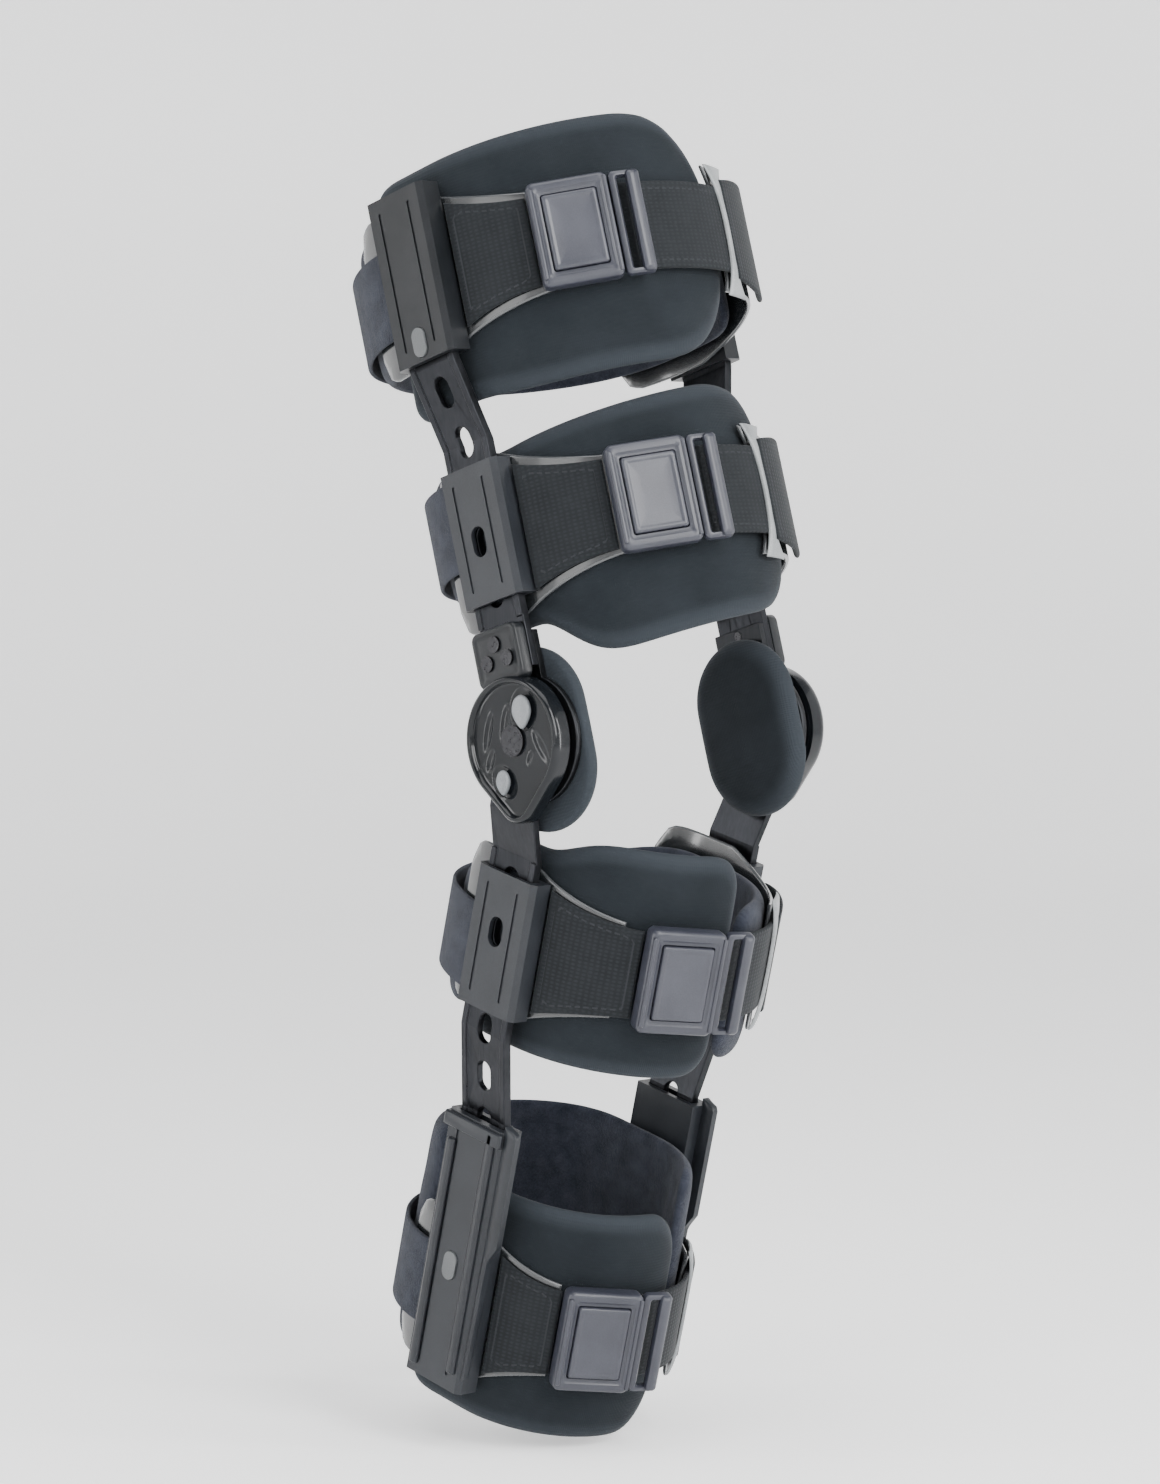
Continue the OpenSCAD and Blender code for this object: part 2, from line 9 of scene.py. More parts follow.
import bmesh
import bpy
import numpy as np
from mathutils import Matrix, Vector

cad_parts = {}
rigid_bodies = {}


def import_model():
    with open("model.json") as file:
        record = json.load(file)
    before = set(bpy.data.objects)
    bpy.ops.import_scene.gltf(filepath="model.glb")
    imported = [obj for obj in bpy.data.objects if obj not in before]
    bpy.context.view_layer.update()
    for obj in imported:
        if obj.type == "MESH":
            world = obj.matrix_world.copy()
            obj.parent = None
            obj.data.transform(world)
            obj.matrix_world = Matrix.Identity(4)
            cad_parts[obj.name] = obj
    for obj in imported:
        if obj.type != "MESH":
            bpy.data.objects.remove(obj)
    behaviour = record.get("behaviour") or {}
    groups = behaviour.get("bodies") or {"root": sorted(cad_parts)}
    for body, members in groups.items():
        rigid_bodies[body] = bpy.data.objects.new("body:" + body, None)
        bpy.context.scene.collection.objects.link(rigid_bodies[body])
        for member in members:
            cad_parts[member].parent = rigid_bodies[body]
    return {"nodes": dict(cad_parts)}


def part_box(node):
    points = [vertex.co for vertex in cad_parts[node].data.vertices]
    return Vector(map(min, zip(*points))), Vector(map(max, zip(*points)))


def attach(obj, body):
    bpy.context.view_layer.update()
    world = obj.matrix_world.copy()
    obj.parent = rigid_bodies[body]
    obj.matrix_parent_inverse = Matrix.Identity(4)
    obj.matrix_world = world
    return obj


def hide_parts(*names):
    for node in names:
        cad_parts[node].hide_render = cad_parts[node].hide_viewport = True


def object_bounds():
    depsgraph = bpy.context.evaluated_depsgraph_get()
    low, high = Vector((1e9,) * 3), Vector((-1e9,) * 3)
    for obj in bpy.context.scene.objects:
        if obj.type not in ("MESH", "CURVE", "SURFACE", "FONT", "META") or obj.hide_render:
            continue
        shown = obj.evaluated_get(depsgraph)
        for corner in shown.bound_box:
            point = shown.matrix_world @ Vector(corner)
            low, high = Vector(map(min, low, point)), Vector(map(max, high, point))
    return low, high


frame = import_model()
cad_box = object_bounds()

# ---------------------------------------------------------------- driving sizes, in millimetres

MM = 0.001
CUFFS = ("upper_thigh", "lower_thigh", "upper_calf", "lower_calf")
SIDE_SIGN = {"lateral": -1, "medial": 1}
THIGH_LEAN, SHANK_LEAN = math.radians(16), math.radians(14)
BAR_Y = (82, 72, 66, 57)
FRONT_FLAT = (3, 8, 5, 6)
BACK_FLAT = (11, 8, 11, 18)
PAD_T = 7
PAD_R = tuple(y - 7 for y in BAR_Y)
WING_T = 2
WING_R = tuple(r + 0.3 for r in PAD_R)
STRAP_T = 2
STRAP_R = tuple(r + 2.6 for r in PAD_R)
BUCKLE_R = tuple(r + 2.5 for r in PAD_R)

HINGE_Y = 72
CONDYLE_Y = HINGE_Y - 4.95
COVER_LOW = 73.95
COVER_HIGH = 80.95
FLOOR_LOW = 79.75
DIAL_R = 27
NOSE_R = 10
NOSE_AT = (-4, -24)
NECK_W = 27


# ---------------------------------------------------------------- places

def limb_point(c, x, y, s):
    """World points from x forward, y to the medial side and s along limb c from the knee. The thigh's
    axis leans back by THIGH_LEAN above the knee, and the shank's by SHANK_LEAN below it."""
    if c < 2:
        cos, sin, up = math.cos(THIGH_LEAN), math.sin(THIGH_LEAN), 1
    else:
        cos, sin, up = math.cos(SHANK_LEAN), math.sin(SHANK_LEAN), -1
    x, y, s = np.broadcast_arrays(np.asarray(x, float), y, s)
    return np.stack([x * cos - s * sin, y, up * (x * sin + s * cos)], -1)


def limb_coordinates(c, points):
    """The inverse of limb_point: x forward, y medial and s along limb c, as columns."""
    lean, up = (THIGH_LEAN, 1) if c < 2 else (SHANK_LEAN, -1)
    cos, sin = math.cos(lean), math.sin(lean)
    x, y, z = points[:, 0], points[:, 1], up * points[:, 2]
    return np.stack([x * cos + z * sin, y, z * cos - x * sin], -1)


def node_points(node):
    """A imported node's vertices, in millimetres."""
    mesh = frame["nodes"][node].data
    co = np.zeros(3 * len(mesh.vertices))
    mesh.vertices.foreach_get("co", co)
    return co.reshape(-1, 3) / MM


def arc(c, angle):
    """Length along cuff c's pad face from the lateral bar's front edge to an angle in degrees, with the
    flat side added behind each bar."""
    side = FRONT_FLAT[c] + BACK_FLAT[c]
    angle = np.asarray(angle, float)
    return np.radians(angle) * PAD_R[c] + side * (angle > 180) - side * (angle < 0)


def ring(c, r, u):
    """x and y on cuff c's cross-section at radius r, where u is the length along the pad's face: a half
    circle in front, the medial side, a half circle behind, the lateral side."""
    half, side = math.pi * PAD_R[c], FRONT_FLAT[c] + BACK_FLAT[c]
    v = np.mod(u, 2 * (half + side))
    turned = (np.clip(v, 0, half) + np.clip(v - half - side, 0, half)) / PAD_R[c]
    slid = np.clip(v - half, 0, side) - np.clip(v - 2 * half - side, 0, side)
    return FRONT_FLAT[c] - slid + r * np.sin(turned), -r * np.cos(turned)


def edges_of(node, c, low_angle=-90, high_angle=270):
    """Length along the pad's face, lower edge and upper edge of a wrapped node, for each of its
    columns between two angles. Angles past 270 count from the lateral bar backwards."""
    x, y, s = limb_coordinates(c, node_points(node)).T
    bent = np.where(x > FRONT_FLAT[c], x - FRONT_FLAT[c], np.minimum(x + BACK_FLAT[c], 0))
    angle = np.degrees(np.arctan2(bent, -y))
    angle = np.round(np.where(angle < low_angle, angle + 360, angle), 2)
    angle = np.where(angle > high_angle, angle - 360, angle)
    columns = np.unique(angle)
    low = np.array([s[angle == a].min() for a in columns])
    high = np.array([s[angle == a].max() for a in columns])
    return arc(c, columns), low, high


def part_of(edges, c, start, end):
    """The columns of a wrapped node's edges between two angles."""
    u, low, high = edges
    kept = (u >= arc(c, start)) & (u <= arc(c, end))
    return u[kept], low[kept], high[kept]


def strap_middle(c):
    """Distance from the knee to the middle of cuff c's strap, and its buckle's angle in radians."""
    x, y, s = limb_coordinates(c, node_points(CUFFS[c] + "_push_button")).mean(0)
    return s, math.atan2(x - FRONT_FLAT[c], -y)


# ---------------------------------------------------------------- meshes

def tube_faces(rows, around, closed_rows=False):
    """Quads of a grid that closes on itself across its rows, and from last row to first if closed."""
    i, j = np.meshgrid(np.arange(rows if closed_rows else rows - 1), np.arange(around), indexing="ij")
    k, l = (i + 1) % rows, (j + 1) % around
    return np.stack([i * around + j, k * around + j, k * around + l, i * around + l], -1).reshape(-1, 4)


def piece(name, parts, material, bodies, replaces=(), attributes=None):
    """One closed mesh object from (points in mm, faces) parts. Doubles are merged and the faces turned
    outwards, attributes are stored at the points, and the piece rides on its body."""
    points, faces, count = [], [], 0
    for part_points, part_faces in parts:
        flat = np.asarray(part_points, float).reshape(-1, 3)
        points.append(flat)
        faces += [[v + count for v in f] for f in part_faces] if isinstance(part_faces, list) \
            else (np.asarray(part_faces) + count).tolist()
        count += len(flat)
    points = np.concatenate(points) * MM
    mesh = bpy.data.meshes.new(name)
    mesh.from_pydata(points.tolist(), [], faces)
    for key, values in (attributes or {}).items():
        values = np.asarray(values, np.float32)
        if values.ndim == 1:
            mesh.attributes.new(key, "FLOAT", "POINT").data.foreach_set("value", values)
        else:
            mesh.attributes.new(key, "FLOAT_VECTOR", "POINT").data.foreach_set("vector", values.ravel())
    whole = bmesh.new()
    whole.from_mesh(mesh)
    bmesh.ops.remove_doubles(whole, verts=whole.verts, dist=1e-6)
    bmesh.ops.dissolve_degenerate(whole, edges=whole.edges, dist=1e-7)
    bmesh.ops.recalc_face_normals(whole, faces=whole.faces)
    whole.to_mesh(mesh)
    whole.free()
    mesh.shade_smooth()
    mesh.materials.append(material)
    obj = bpy.data.objects.new(name, mesh)
    bpy.context.scene.collection.objects.link(obj)
    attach(obj, bodies)
    if replaces:
        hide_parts(*replaces)
    return obj


def rounding(d, e):
    """Quarter-ellipse rise from 0 at an edge to 1 at distance e from it."""
    return np.sqrt(1 - (1 - np.clip(d / e, 0, 1)) ** 2)


def spaced(start, end, step, ease):
    """Even steps from start to end, closer together within ease of each end, on quarter circles."""
    near = ease * (1 - np.cos(np.radians(np.arange(0, 90, 18))))
    middle = np.linspace(start + ease, end - ease, max(2, int(round((end - start - 2 * ease) / step)) + 1))
    return np.concatenate([start + near, middle, (end - near)[::-1]])


def wrapped(c, edges, outer, inner, step=4.0, ease=6.0, row_step=5.0, row_ease=2.0, bend=None):
    """Closed sheet wrapped round cuff c. Each column runs from the lower to the upper edge, and the two
    faces stand at radii outer(d, u, s) and inner(d, u, s), where d is the distance to the nearest
    edge. They meet at d = 0. bend(u, s) moves points along the sheet. Returns points, faces and the
    attributes lie (position on the sheet) and rim (distance to its edge)."""
    u0, low0, high0 = edges
    u = spaced(u0[0], u0[-1], step, ease)
    low, high = np.interp(u, u0, low0)[:, None], np.interp(u, u0, high0)[:, None]
    rows = max(4, int(round(float(np.median(high - low)) / row_step)))
    near = row_ease * (1 - np.cos(np.radians(np.arange(0, 90, 22.5))))
    s = np.concatenate([low + near, low + row_ease + (high - low - 2 * row_ease)
                        * np.linspace(0, 1, rows), (high - near)[:, ::-1]], 1)
    u = np.broadcast_to(u[:, None], s.shape)
    slope_low = np.gradient(low[:, 0], u[:, 0])[:, None]
    slope_high = np.gradient(high[:, 0], u[:, 0])[:, None]
    d = np.minimum((s - low) / np.sqrt(1 + slope_low ** 2), (high - s) / np.sqrt(1 + slope_high ** 2))
    d = np.clip(np.minimum(d, np.minimum(u - u0[0], u0[-1] - u)), 0, None)
    shifted = u if bend is None else u + bend(u, s)
    around = [np.arange(s.shape[1]), np.arange(s.shape[1] - 2, 0, -1)]
    points, lie, rim = [], [], []
    for columns, radius in zip(around, (outer(d, u, s), inner(d, u, s))):
        x, y = ring(c, radius[:, columns], shifted[:, columns])
        points.append(limb_point(c, x, y, s[:, columns]))
        lie.append(np.stack([u[:, columns], s[:, columns], np.zeros_like(u[:, columns])], -1))
        rim.append(d[:, columns])
    points, lie, rim = (np.concatenate(part, 1) for part in (points, lie, rim))
    return points, tube_faces(*rim.shape), {"lie": lie.reshape(-1, 3), "rim": rim.ravel()}


def plate_faces(middle, thick, edge):
    """Outer and inner radius functions of a plate of one thickness with rounded edges."""
    return (lambda d, u, s: middle + thick / 2 * rounding(d, edge),
            lambda d, u, s: middle - thick / 2 * rounding(d, edge))


def rounded_rectangle(half_x, half_z, corner, steps=6):
    """Closed outline of four quarter circles, one round each corner's centre, joined by straight sides."""
    angle = np.arange(4)[:, None] * math.pi / 2 + np.linspace(0, math.pi / 2, steps)
    x = (half_x - corner) * np.array([1, -1, -1, 1])[:, None] + corner * np.cos(angle)
    z = (half_z - corner) * np.array([1, 1, -1, -1])[:, None] + corner * np.sin(angle)
    return np.stack([x, z], -1).reshape(-1, 2)


def moulded(profile, closed=False, steps=6, at=(0, 0)):
    """Loops of a moulding: each (half length, half width, corner, height) of the profile is a rounded
    rectangle at that height. Returns points (along, across, height) and faces, capped unless closed."""
    loops = [np.column_stack([rounded_rectangle(a, b, r, steps) + at, np.full(4 * steps, h)])
             for a, b, r, h in profile]
    around = 4 * steps
    faces = tube_faces(len(loops), around, closed).tolist()
    if not closed:
        faces += [list(range(around))[::-1], list(range((len(loops) - 1) * around, len(loops) * around))]
    return np.array(loops), faces


# ---------------------------------------------------------------- finishes

class Finish:
    """A Principled material and short calls for its nodes."""

    def __init__(self, name, roughness, metallic=0.0, **values):
        self.material = bpy.data.materials.new(name)
        self.material.use_nodes = True
        self.tree = self.material.node_tree
        self.shader = self.tree.nodes["Principled BSDF"]
        self.shader.inputs["Roughness"].default_value = roughness
        self.shader.inputs["Metallic"].default_value = metallic
        for key, value in values.items():
            self.shader.inputs[key.replace("_", " ")].default_value = value

    def node(self, kind, inputs=None, **settings):
        made = self.tree.nodes.new("ShaderNode" + kind)
        for key, value in settings.items():
            setattr(made, key, value)
        for key, value in (inputs or {}).items():
            if isinstance(value, bpy.types.NodeSocket):
                self.tree.links.new(value, made.inputs[key])
            else:
                made.inputs[key].default_value = value
        return made

    def link(self, socket, key):
        self.tree.links.new(socket, self.shader.inputs[key])

    def object_position(self):
        return self.node("TexCoord").outputs["Object"]

    def attribute(self, name, output="Fac"):
        return self.node("Attribute", attribute_name=name).outputs[output]

    def noise(self, position, scale, detail=3.0, roughness=0.55):
        return self.node("TexNoise", {"Vector": position, "Scale": scale, "Detail": detail,
                                      "Roughness": roughness}).outputs["Fac"]

    def waves(self, position, pitch, direction, distortion=0.0):
        """Bands with one period for each pitch, in the units of position."""
        return self.node("TexWave", {"Vector": position, "Scale": 2 * math.pi / (20 * pitch),
                                     "Distortion": distortion, "Detail": 1.0},
                         wave_type="BANDS", bands_direction=direction).outputs["Fac"]

    def sums(self, a, b, operation="ADD"):
        return self.node("Math", {0: a, 1: b}, operation=operation).outputs[0]

    def ramp(self, value, low, high, dark, light):
        """Colour from dark to light as value goes from low to high."""
        share = self.node("MapRange", {"Value": value, "From Min": low, "From Max": high}).outputs["Result"]
        return self.node("Mix", {0: share, 6: (*dark, 1), 7: (*light, 1)}, data_type="RGBA").outputs[2]

    def mixed(self, share, a, b):
        return self.node("Mix", {0: share, 6: a, 7: b}, data_type="RGBA").outputs[2]

    def rough(self, value, low, high):
        self.link(self.node("MapRange", {"Value": value, "To Min": low, "To Max": high}).outputs["Result"],
                  "Roughness")

    def bump(self, height, distance, strength=1.0):
        made = self.node("Bump", {"Height": height, "Distance": distance * MM, "Strength": strength})
        self.link(made.outputs["Normal"], "Normal")


def foam_finish():
    """Smooth brushed face cloth on foam: a fine knit, with a paler bound edge."""
    f = Finish("navy_foam_cloth", 0.85, Sheen_Weight=0.06, Sheen_Roughness=0.4, Specular_IOR_Level=0.12)
    lie, rim = f.attribute("lie", "Vector"), f.attribute("rim")
    clouds = f.noise(lie, 0.035, 4)
    base = f.ramp(clouds, 0.3, 0.7, (0.0080, 0.0105, 0.0130), (0.0118, 0.0148, 0.0180))
    edge = f.node("MapRange", {"Value": rim, "From Min": 9.0, "From Max": 1.0, "To Max": 0.8},
                  interpolation_type="SMOOTHSTEP").outputs["Result"]
    f.link(f.mixed(edge, base, (0.025, 0.030, 0.036, 1)), "Base Color")
    knit = f.sums(f.waves(lie, 0.9, "X", 0.4), f.waves(lie, 1.3, "Y", 0.4))
    f.bump(f.sums(knit, f.noise(lie, 1.4, 3)), 0.05)
    return f.material


def loop_finish():
    """Napped loop cloth: short fuzzy pile in clumps."""
    f = Finish("grey_loop_cloth", 0.95, Sheen_Weight=0.10, Sheen_Roughness=0.6, Specular_IOR_Level=0.08)
    lie = f.attribute("lie", "Vector")
    pile, clumps = f.noise(lie, 0.9, 6, 0.75), f.noise(lie, 0.12, 3)
    base = f.ramp(f.sums(pile, clumps), 0.75, 1.3, (0.008, 0.0105, 0.018), (0.028, 0.032, 0.046))
    f.link(base, "Base Color")
    f.bump(f.sums(pile, clumps), 0.7)
    return f.material


def web_finish():
    """Woven nylon webbing: ribs across its length, rolled edges and two lines of stitches."""
    f = Finish("black_webbing", 0.7, Sheen_Weight=0.04, Specular_IOR_Level=0.15)
    lie, rim = f.attribute("lie", "Vector"), f.attribute("rim")
    ribs = f.waves(lie, 2.4, "X", 0.8)
    yarns = f.waves(lie, 1.7, "Y", 0.5)
    weave = f.sums(ribs, yarns, "MULTIPLY")
    clouds = f.noise(lie, 0.08, 3)
    base = f.ramp(f.sums(weave, clouds), 0.25, 1.2, (0.0045, 0.0058, 0.0070), (0.0105, 0.0125, 0.0148))
    stitch = f.sums(f.sums(rim, 3.2, "GREATER_THAN"), f.sums(rim, 3.8, "LESS_THAN"), "MULTIPLY")
    gaps = f.sums(f.waves(lie, 3.4, "X"), 0.35, "GREATER_THAN")
    stitch = f.sums(stitch, gaps, "MULTIPLY")
    f.link(f.mixed(stitch, base, (0.017, 0.019, 0.022, 1)), "Base Color")
    f.bump(f.sums(weave, stitch), 0.12)
    return f.material


def wing_finish():
    """Black moulded plate, glossy, with a slightly paler rim painted along its edges as a highlight."""
    f = Finish("black_wing_plate", 0.2, Specular_IOR_Level=0.6, Coat_Weight=0.5, Coat_Roughness=0.1)
    rim = f.attribute("rim")
    grain = f.noise(f.object_position(), 900, 3)
    base = f.ramp(grain, 0.3, 0.7, (0.008, 0.009, 0.010), (0.014, 0.016, 0.017))
    # painted highlight: the colour turns paler within about a millimetre of the plate's edge, standing in for
    # light caught there
    edge = f.node("MapRange", {"Value": rim, "From Min": 1.2, "From Max": 0.2}).outputs["Result"]
    f.link(f.mixed(edge, base, (0.05, 0.053, 0.056, 1)), "Base Color")
    f.rough(grain, 0.16, 0.28)
    f.bump(grain, 0.02)
    return f.material


def moulded_finish(name, dark, light, roughness, grain_depth, **values):
    """Moulded plastic: a fine spark-eroded grain, slight flow clouds and scuffs in its gloss."""
    f = Finish(name, roughness, **values)
    position = f.object_position()
    grain, clouds = f.noise(position, 2200, 2), f.noise(position, 55, 4)
    f.link(f.ramp(f.sums(grain, clouds), 0.75, 1.25, dark, light), "Base Color")
    f.rough(clouds, roughness * 0.8, roughness * 1.2)
    f.bump(grain, grain_depth)
    return f.material


def metal_finish(name, dark, light, roughness, stretch, metallic=0.85):
    """Brushed metal: noise drawn out along the limb, over soft clouds."""
    f = Finish(name, roughness, metallic=metallic)
    position = f.object_position()
    drawn = f.node("Mapping", {"Vector": position, "Scale": stretch}).outputs["Vector"]
    strokes, clouds = f.noise(drawn, 60, 4, 0.7), f.noise(position, 30, 3)
    f.link(f.ramp(f.sums(strokes, clouds), 0.7, 1.3, dark, light), "Base Color")
    f.rough(strokes, roughness * 0.75, roughness * 1.3)
    f.bump(strokes, 0.012)
    return f.material


foam = foam_finish()
loop_cloth = loop_finish()
webbing = web_finish()
wing_plastic = wing_finish()
bar_black = metal_finish("anodised_bar", (0.010, 0.011, 0.013), (0.024, 0.025, 0.029), 0.30, (12, 12, 0.6))
hinge_black = metal_finish("anodised_hinge_plate", (0.010, 0.011, 0.012), (0.022, 0.023, 0.026), 0.36,
                           (10, 10, 1))
steel = metal_finish("blackened_steel", (0.022, 0.022, 0.024), (0.05, 0.05, 0.053), 0.28, (8, 8, 8), 1.0)
sleeve_black = moulded_finish("sleeve_plastic", (0.005, 0.006, 0.007), (0.009, 0.010, 0.012), 0.32, 0.015,
                              Specular_IOR_Level=0.26)
carriage_black = moulded_finish("carriage_plastic", (0.010, 0.0115, 0.014), (0.017, 0.019, 0.023), 0.36,
                                0.02, Specular_IOR_Level=0.3)
cover_gloss = moulded_finish("hinge_cover_plastic", (0.004, 0.005, 0.006), (0.006, 0.007, 0.009), 0.18,
                             0.004, Specular_IOR_Level=0.2, Coat_Weight=0.16, Coat_Roughness=0.05)
dial_grey = moulded_finish("dial_stop_plastic", (0.12, 0.13, 0.138), (0.19, 0.20, 0.21), 0.4, 0.02)
button_grey = moulded_finish("length_button_plastic", (0.05, 0.055, 0.057), (0.085, 0.09, 0.094), 0.4, 0.02)
buckle_grey = moulded_finish("buckle_plastic", (0.017, 0.0185, 0.027), (0.028, 0.030, 0.041), 0.36, 0.02)
edge_grey = moulded_finish("wing_edge_plastic", (0.13, 0.14, 0.145), (0.24, 0.25, 0.255), 0.3, 0.01)
push_grey = moulded_finish("push_button_plastic", (0.021, 0.0225, 0.031), (0.034, 0.036, 0.048), 0.32, 0.015)


# ---------------------------------------------------------------- pads

STRAP_PRESSES, BAR_PRESSES, PRESS_EASE = 40, 30, 10
PAD_RIM = 5.2
PAD_ROLL_OUT, PAD_ROLL_IN = 9.0, 3.0
PAD_SLACK, PAD_GIVE = 0.5, 2.2


def under_plates(c, u, s):
    """1 where a strap, wing or bar presses on cuff c's pad, falling smoothly to 0 round it."""
    middle, _ = strap_middle(c)
    near_strap = np.clip((STRAP_PRESSES - np.abs(s - middle)) / PRESS_EASE, 0, 1)
    half, side = math.pi * PAD_R[c], FRONT_FLAT[c] + BACK_FLAT[c]
    before = side + STRAP_PRESSES
    v = np.mod(u + before, 2 * (half + side)) - before
    from_bar = np.minimum(np.abs(v + side / 2), np.abs(v - half - side / 2))
    near_bar = np.clip((BAR_PRESSES - from_bar) / PRESS_EASE, 0, 1)
    pressed = np.maximum(near_strap, near_bar)
    return pressed * pressed * (3 - 2 * pressed)


def pad_faces(c):
    """Radii of a pad's faces: both roll over to the rim, the outer one more slowly, and the outer face
    starts below its full radius by PAD_SLACK where nothing presses on it."""
    rim = PAD_R[c] - PAD_RIM

    def outer(d, u, s):
        full = PAD_R[c] - 0.15 - PAD_SLACK * (1 - under_plates(c, u, s))
        return rim + (full - rim) * rounding(d, PAD_ROLL_OUT)

    def inner(d, u, s):
        return rim - (rim - PAD_R[c] + PAD_T) * rounding(d, PAD_ROLL_IN)

    return outer, inner


def cuff_pad(c, part, material):
    """A cuff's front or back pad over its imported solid."""
    node = f"{CUFFS[c]}_{part}"
    low, high = (-90, 200) if part == "front_pad" else (0, 350)
    edges = edges_of(node, c, low, high)
    points, faces, attributes = wrapped(c, edges, *pad_faces(c), step=5, ease=8, row_step=6, row_ease=5)
    pressed = under_plates(c, attributes["lie"][:, 0], attributes["lie"][:, 1])
    attributes["give"] = np.where(attributes["rim"] < 1.0, 0, PAD_GIVE * (1 - pressed) + 0.1)
    obj = piece(f"{node}_cloth", [(points, faces)], material, f"{CUFFS[c]}_cuff", [node], attributes)
    return obj


def condyle_pad(side):
    """Oval pad inside a hinge: stadium loops whose inset and height follow a rounded profile. Heights
    in the profile are for a pad 10 mm thick."""
    sign = SIDE_SIGN[side]
    node = f"{side}_condyle_pad"
    low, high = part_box(node)
    thick = (high.y - low.y) / MM
    half_x, half_z = 28.0, 39.0
    around = 48
    profile = [(12, 0.2), (6, 0.2), (1.5, 0.3), (0.3, 1.4), (0, 3.0), (0.4, 5.0), (1.6, 7.0), (3.6, 8.6),
               (6.5, 9.6), (10, 9.9), (15, 10.0), (20, 10.0), (24, 10.0), (28, 10.0)]
    loops = [np.column_stack([rounded_rectangle(half_x - o, half_z - o, half_x - o, around // 4),
                              np.full(around, h * thick / 10)]) for o, h in profile]
    loops = np.array(loops)
    faces = tube_faces(len(loops), around).tolist() + [list(range(around))]
    flat = loops.reshape(-1, 3)
    inset = np.repeat([o if h > 3 else 0 for o, h in profile], around)
    points = limb_point(0, flat[:, 0], sign * (CONDYLE_Y - flat[:, 2]), flat[:, 1])
    attributes = {"lie": np.column_stack([flat[:, :2], np.zeros(len(flat))]), "rim": inset,
                  "give": np.where(flat[:, 2] > 3, 1.2, 0.0)}
    obj = piece(f"{node}_cloth", [(points, faces)], foam, "thigh_frame", [node], attributes)
    return obj


def puff(pads, frames=20, pressure=4.0):
    """Cloth with a little pressure puffs the pads all together. Each point then keeps the part of its
    move that lies along its own normal, up to the most that the plates over it let it give."""
    scene = bpy.context.scene
    for pad in pads:
        count = len(pad.data.vertices)
        give = np.zeros(count, np.float32)
        pad.data.attributes["give"].data.foreach_get("value", give)
        held = pad.vertex_groups.new(name="held")
        held.add(np.flatnonzero(give < 0.05).tolist(), 1.0, "REPLACE")
        cloth = pad.modifiers.new("puff", "CLOTH")
        cloth.settings.quality = 6
        cloth.settings.mass = 0.2
        cloth.settings.vertex_group_mass = "held"
        cloth.settings.use_pressure = True
        cloth.settings.uniform_pressure_force = pressure
        cloth.settings.effector_weights.gravity = 0
        cloth.collision_settings.use_collision = False
        cloth.point_cache.frame_start, cloth.point_cache.frame_end = 1, frames
    for step in range(1, frames + 1):
        scene.frame_set(step)
    graph = bpy.context.evaluated_depsgraph_get()
    for pad in pads:
        count = len(pad.data.vertices)
        rest, moved, normal = (np.zeros(3 * count, np.float32) for _ in range(3))
        give = np.zeros(count, np.float32)
        pad.data.attributes["give"].data.foreach_get("value", give)
        pad.data.vertices.foreach_get("co", rest)
        pad.data.vertices.foreach_get("normal", normal)
        pad.evaluated_get(graph).data.vertices.foreach_get("co", moved)
        rest, moved, normal = (a.reshape(-1, 3) for a in (rest, moved, normal))
        along = ((moved - rest) * normal).sum(1)
        along = np.clip(np.nan_to_num(along), -0.3 * MM, give * MM)
        pad.modifiers.remove(pad.modifiers["puff"])
        pad.data.vertices.foreach_set("co", (rest + along[:, None] * normal).ravel())
        pad.data.update()
    scene.frame_set(1)


pads = [cuff_pad(c, "front_pad", foam) for c in range(4)]
pads += [cuff_pad(c, "back_pad", loop_cloth) for c in range(4)]
pads += [condyle_pad(side) for side in SIDE_SIGN]
puff(pads)
for pad in pads:
    smooth = pad.modifiers.new("smooth", "SUBSURF")
    smooth.levels = smooth.render_levels = 1


# ---------------------------------------------------------------- wings

def cuff_wings(c):
    """Wing plates of one cuff: curved plates whose front edges are cut back in a shallow bow."""
    node = f"{CUFFS[c]}_wings"
    middle, _ = strap_middle(c)
    edges = edges_of(node, c, -90, 260)
    lateral, medial = part_of(edges, c, -40, 90), part_of(edges, c, 90, 220)
    front = medial[0][0]
    tall = (medial[2][0] - medial[1][0]) / 2

    def bowed(u, s):
        reach = np.clip(1 - (u - front) / 22, 0, 1) ** 2
        return reach * (7.5 * (1 - ((s - middle) / tall) ** 2) - 3.0 * np.abs((s - middle) / tall) ** 4)

    faces = plate_faces(WING_R[c] + WING_T / 2, WING_T, 0.9)

    def flared(side):
        """The face's radius, lifted a little towards the front edge's corners."""
        def radius(d, u, s):
            lift = 1.6 * np.clip(1 - (u - front) / 16, 0, 1) ** 2 * np.abs((s - middle) / tall) ** 3
            return faces[side](d, u, s) + lift
        return radius

    sheets = [wrapped(c, lateral, *faces, step=3, ease=2, row_ease=0.9),
              wrapped(c, medial, flared(0), flared(1), step=3, ease=2, row_ease=0.9, bend=bowed)]
    attributes = {key: np.concatenate([sheet[2][key] for sheet in sheets]) for key in ("lie", "rim")}
    return piece(f"{node}_plates", [sheet[:2] for sheet in sheets], wing_plastic,
                 f"{CUFFS[c]}_cuff", [node], attributes)


for cuff in range(4):
    cuff_wings(cuff)


# ---------------------------------------------------------------- straps

UNDER_BUCKLE = 8.5
TAB_START, TAB_LONG = 5.5, 46
EDGE_BAR_HALF = 29.0


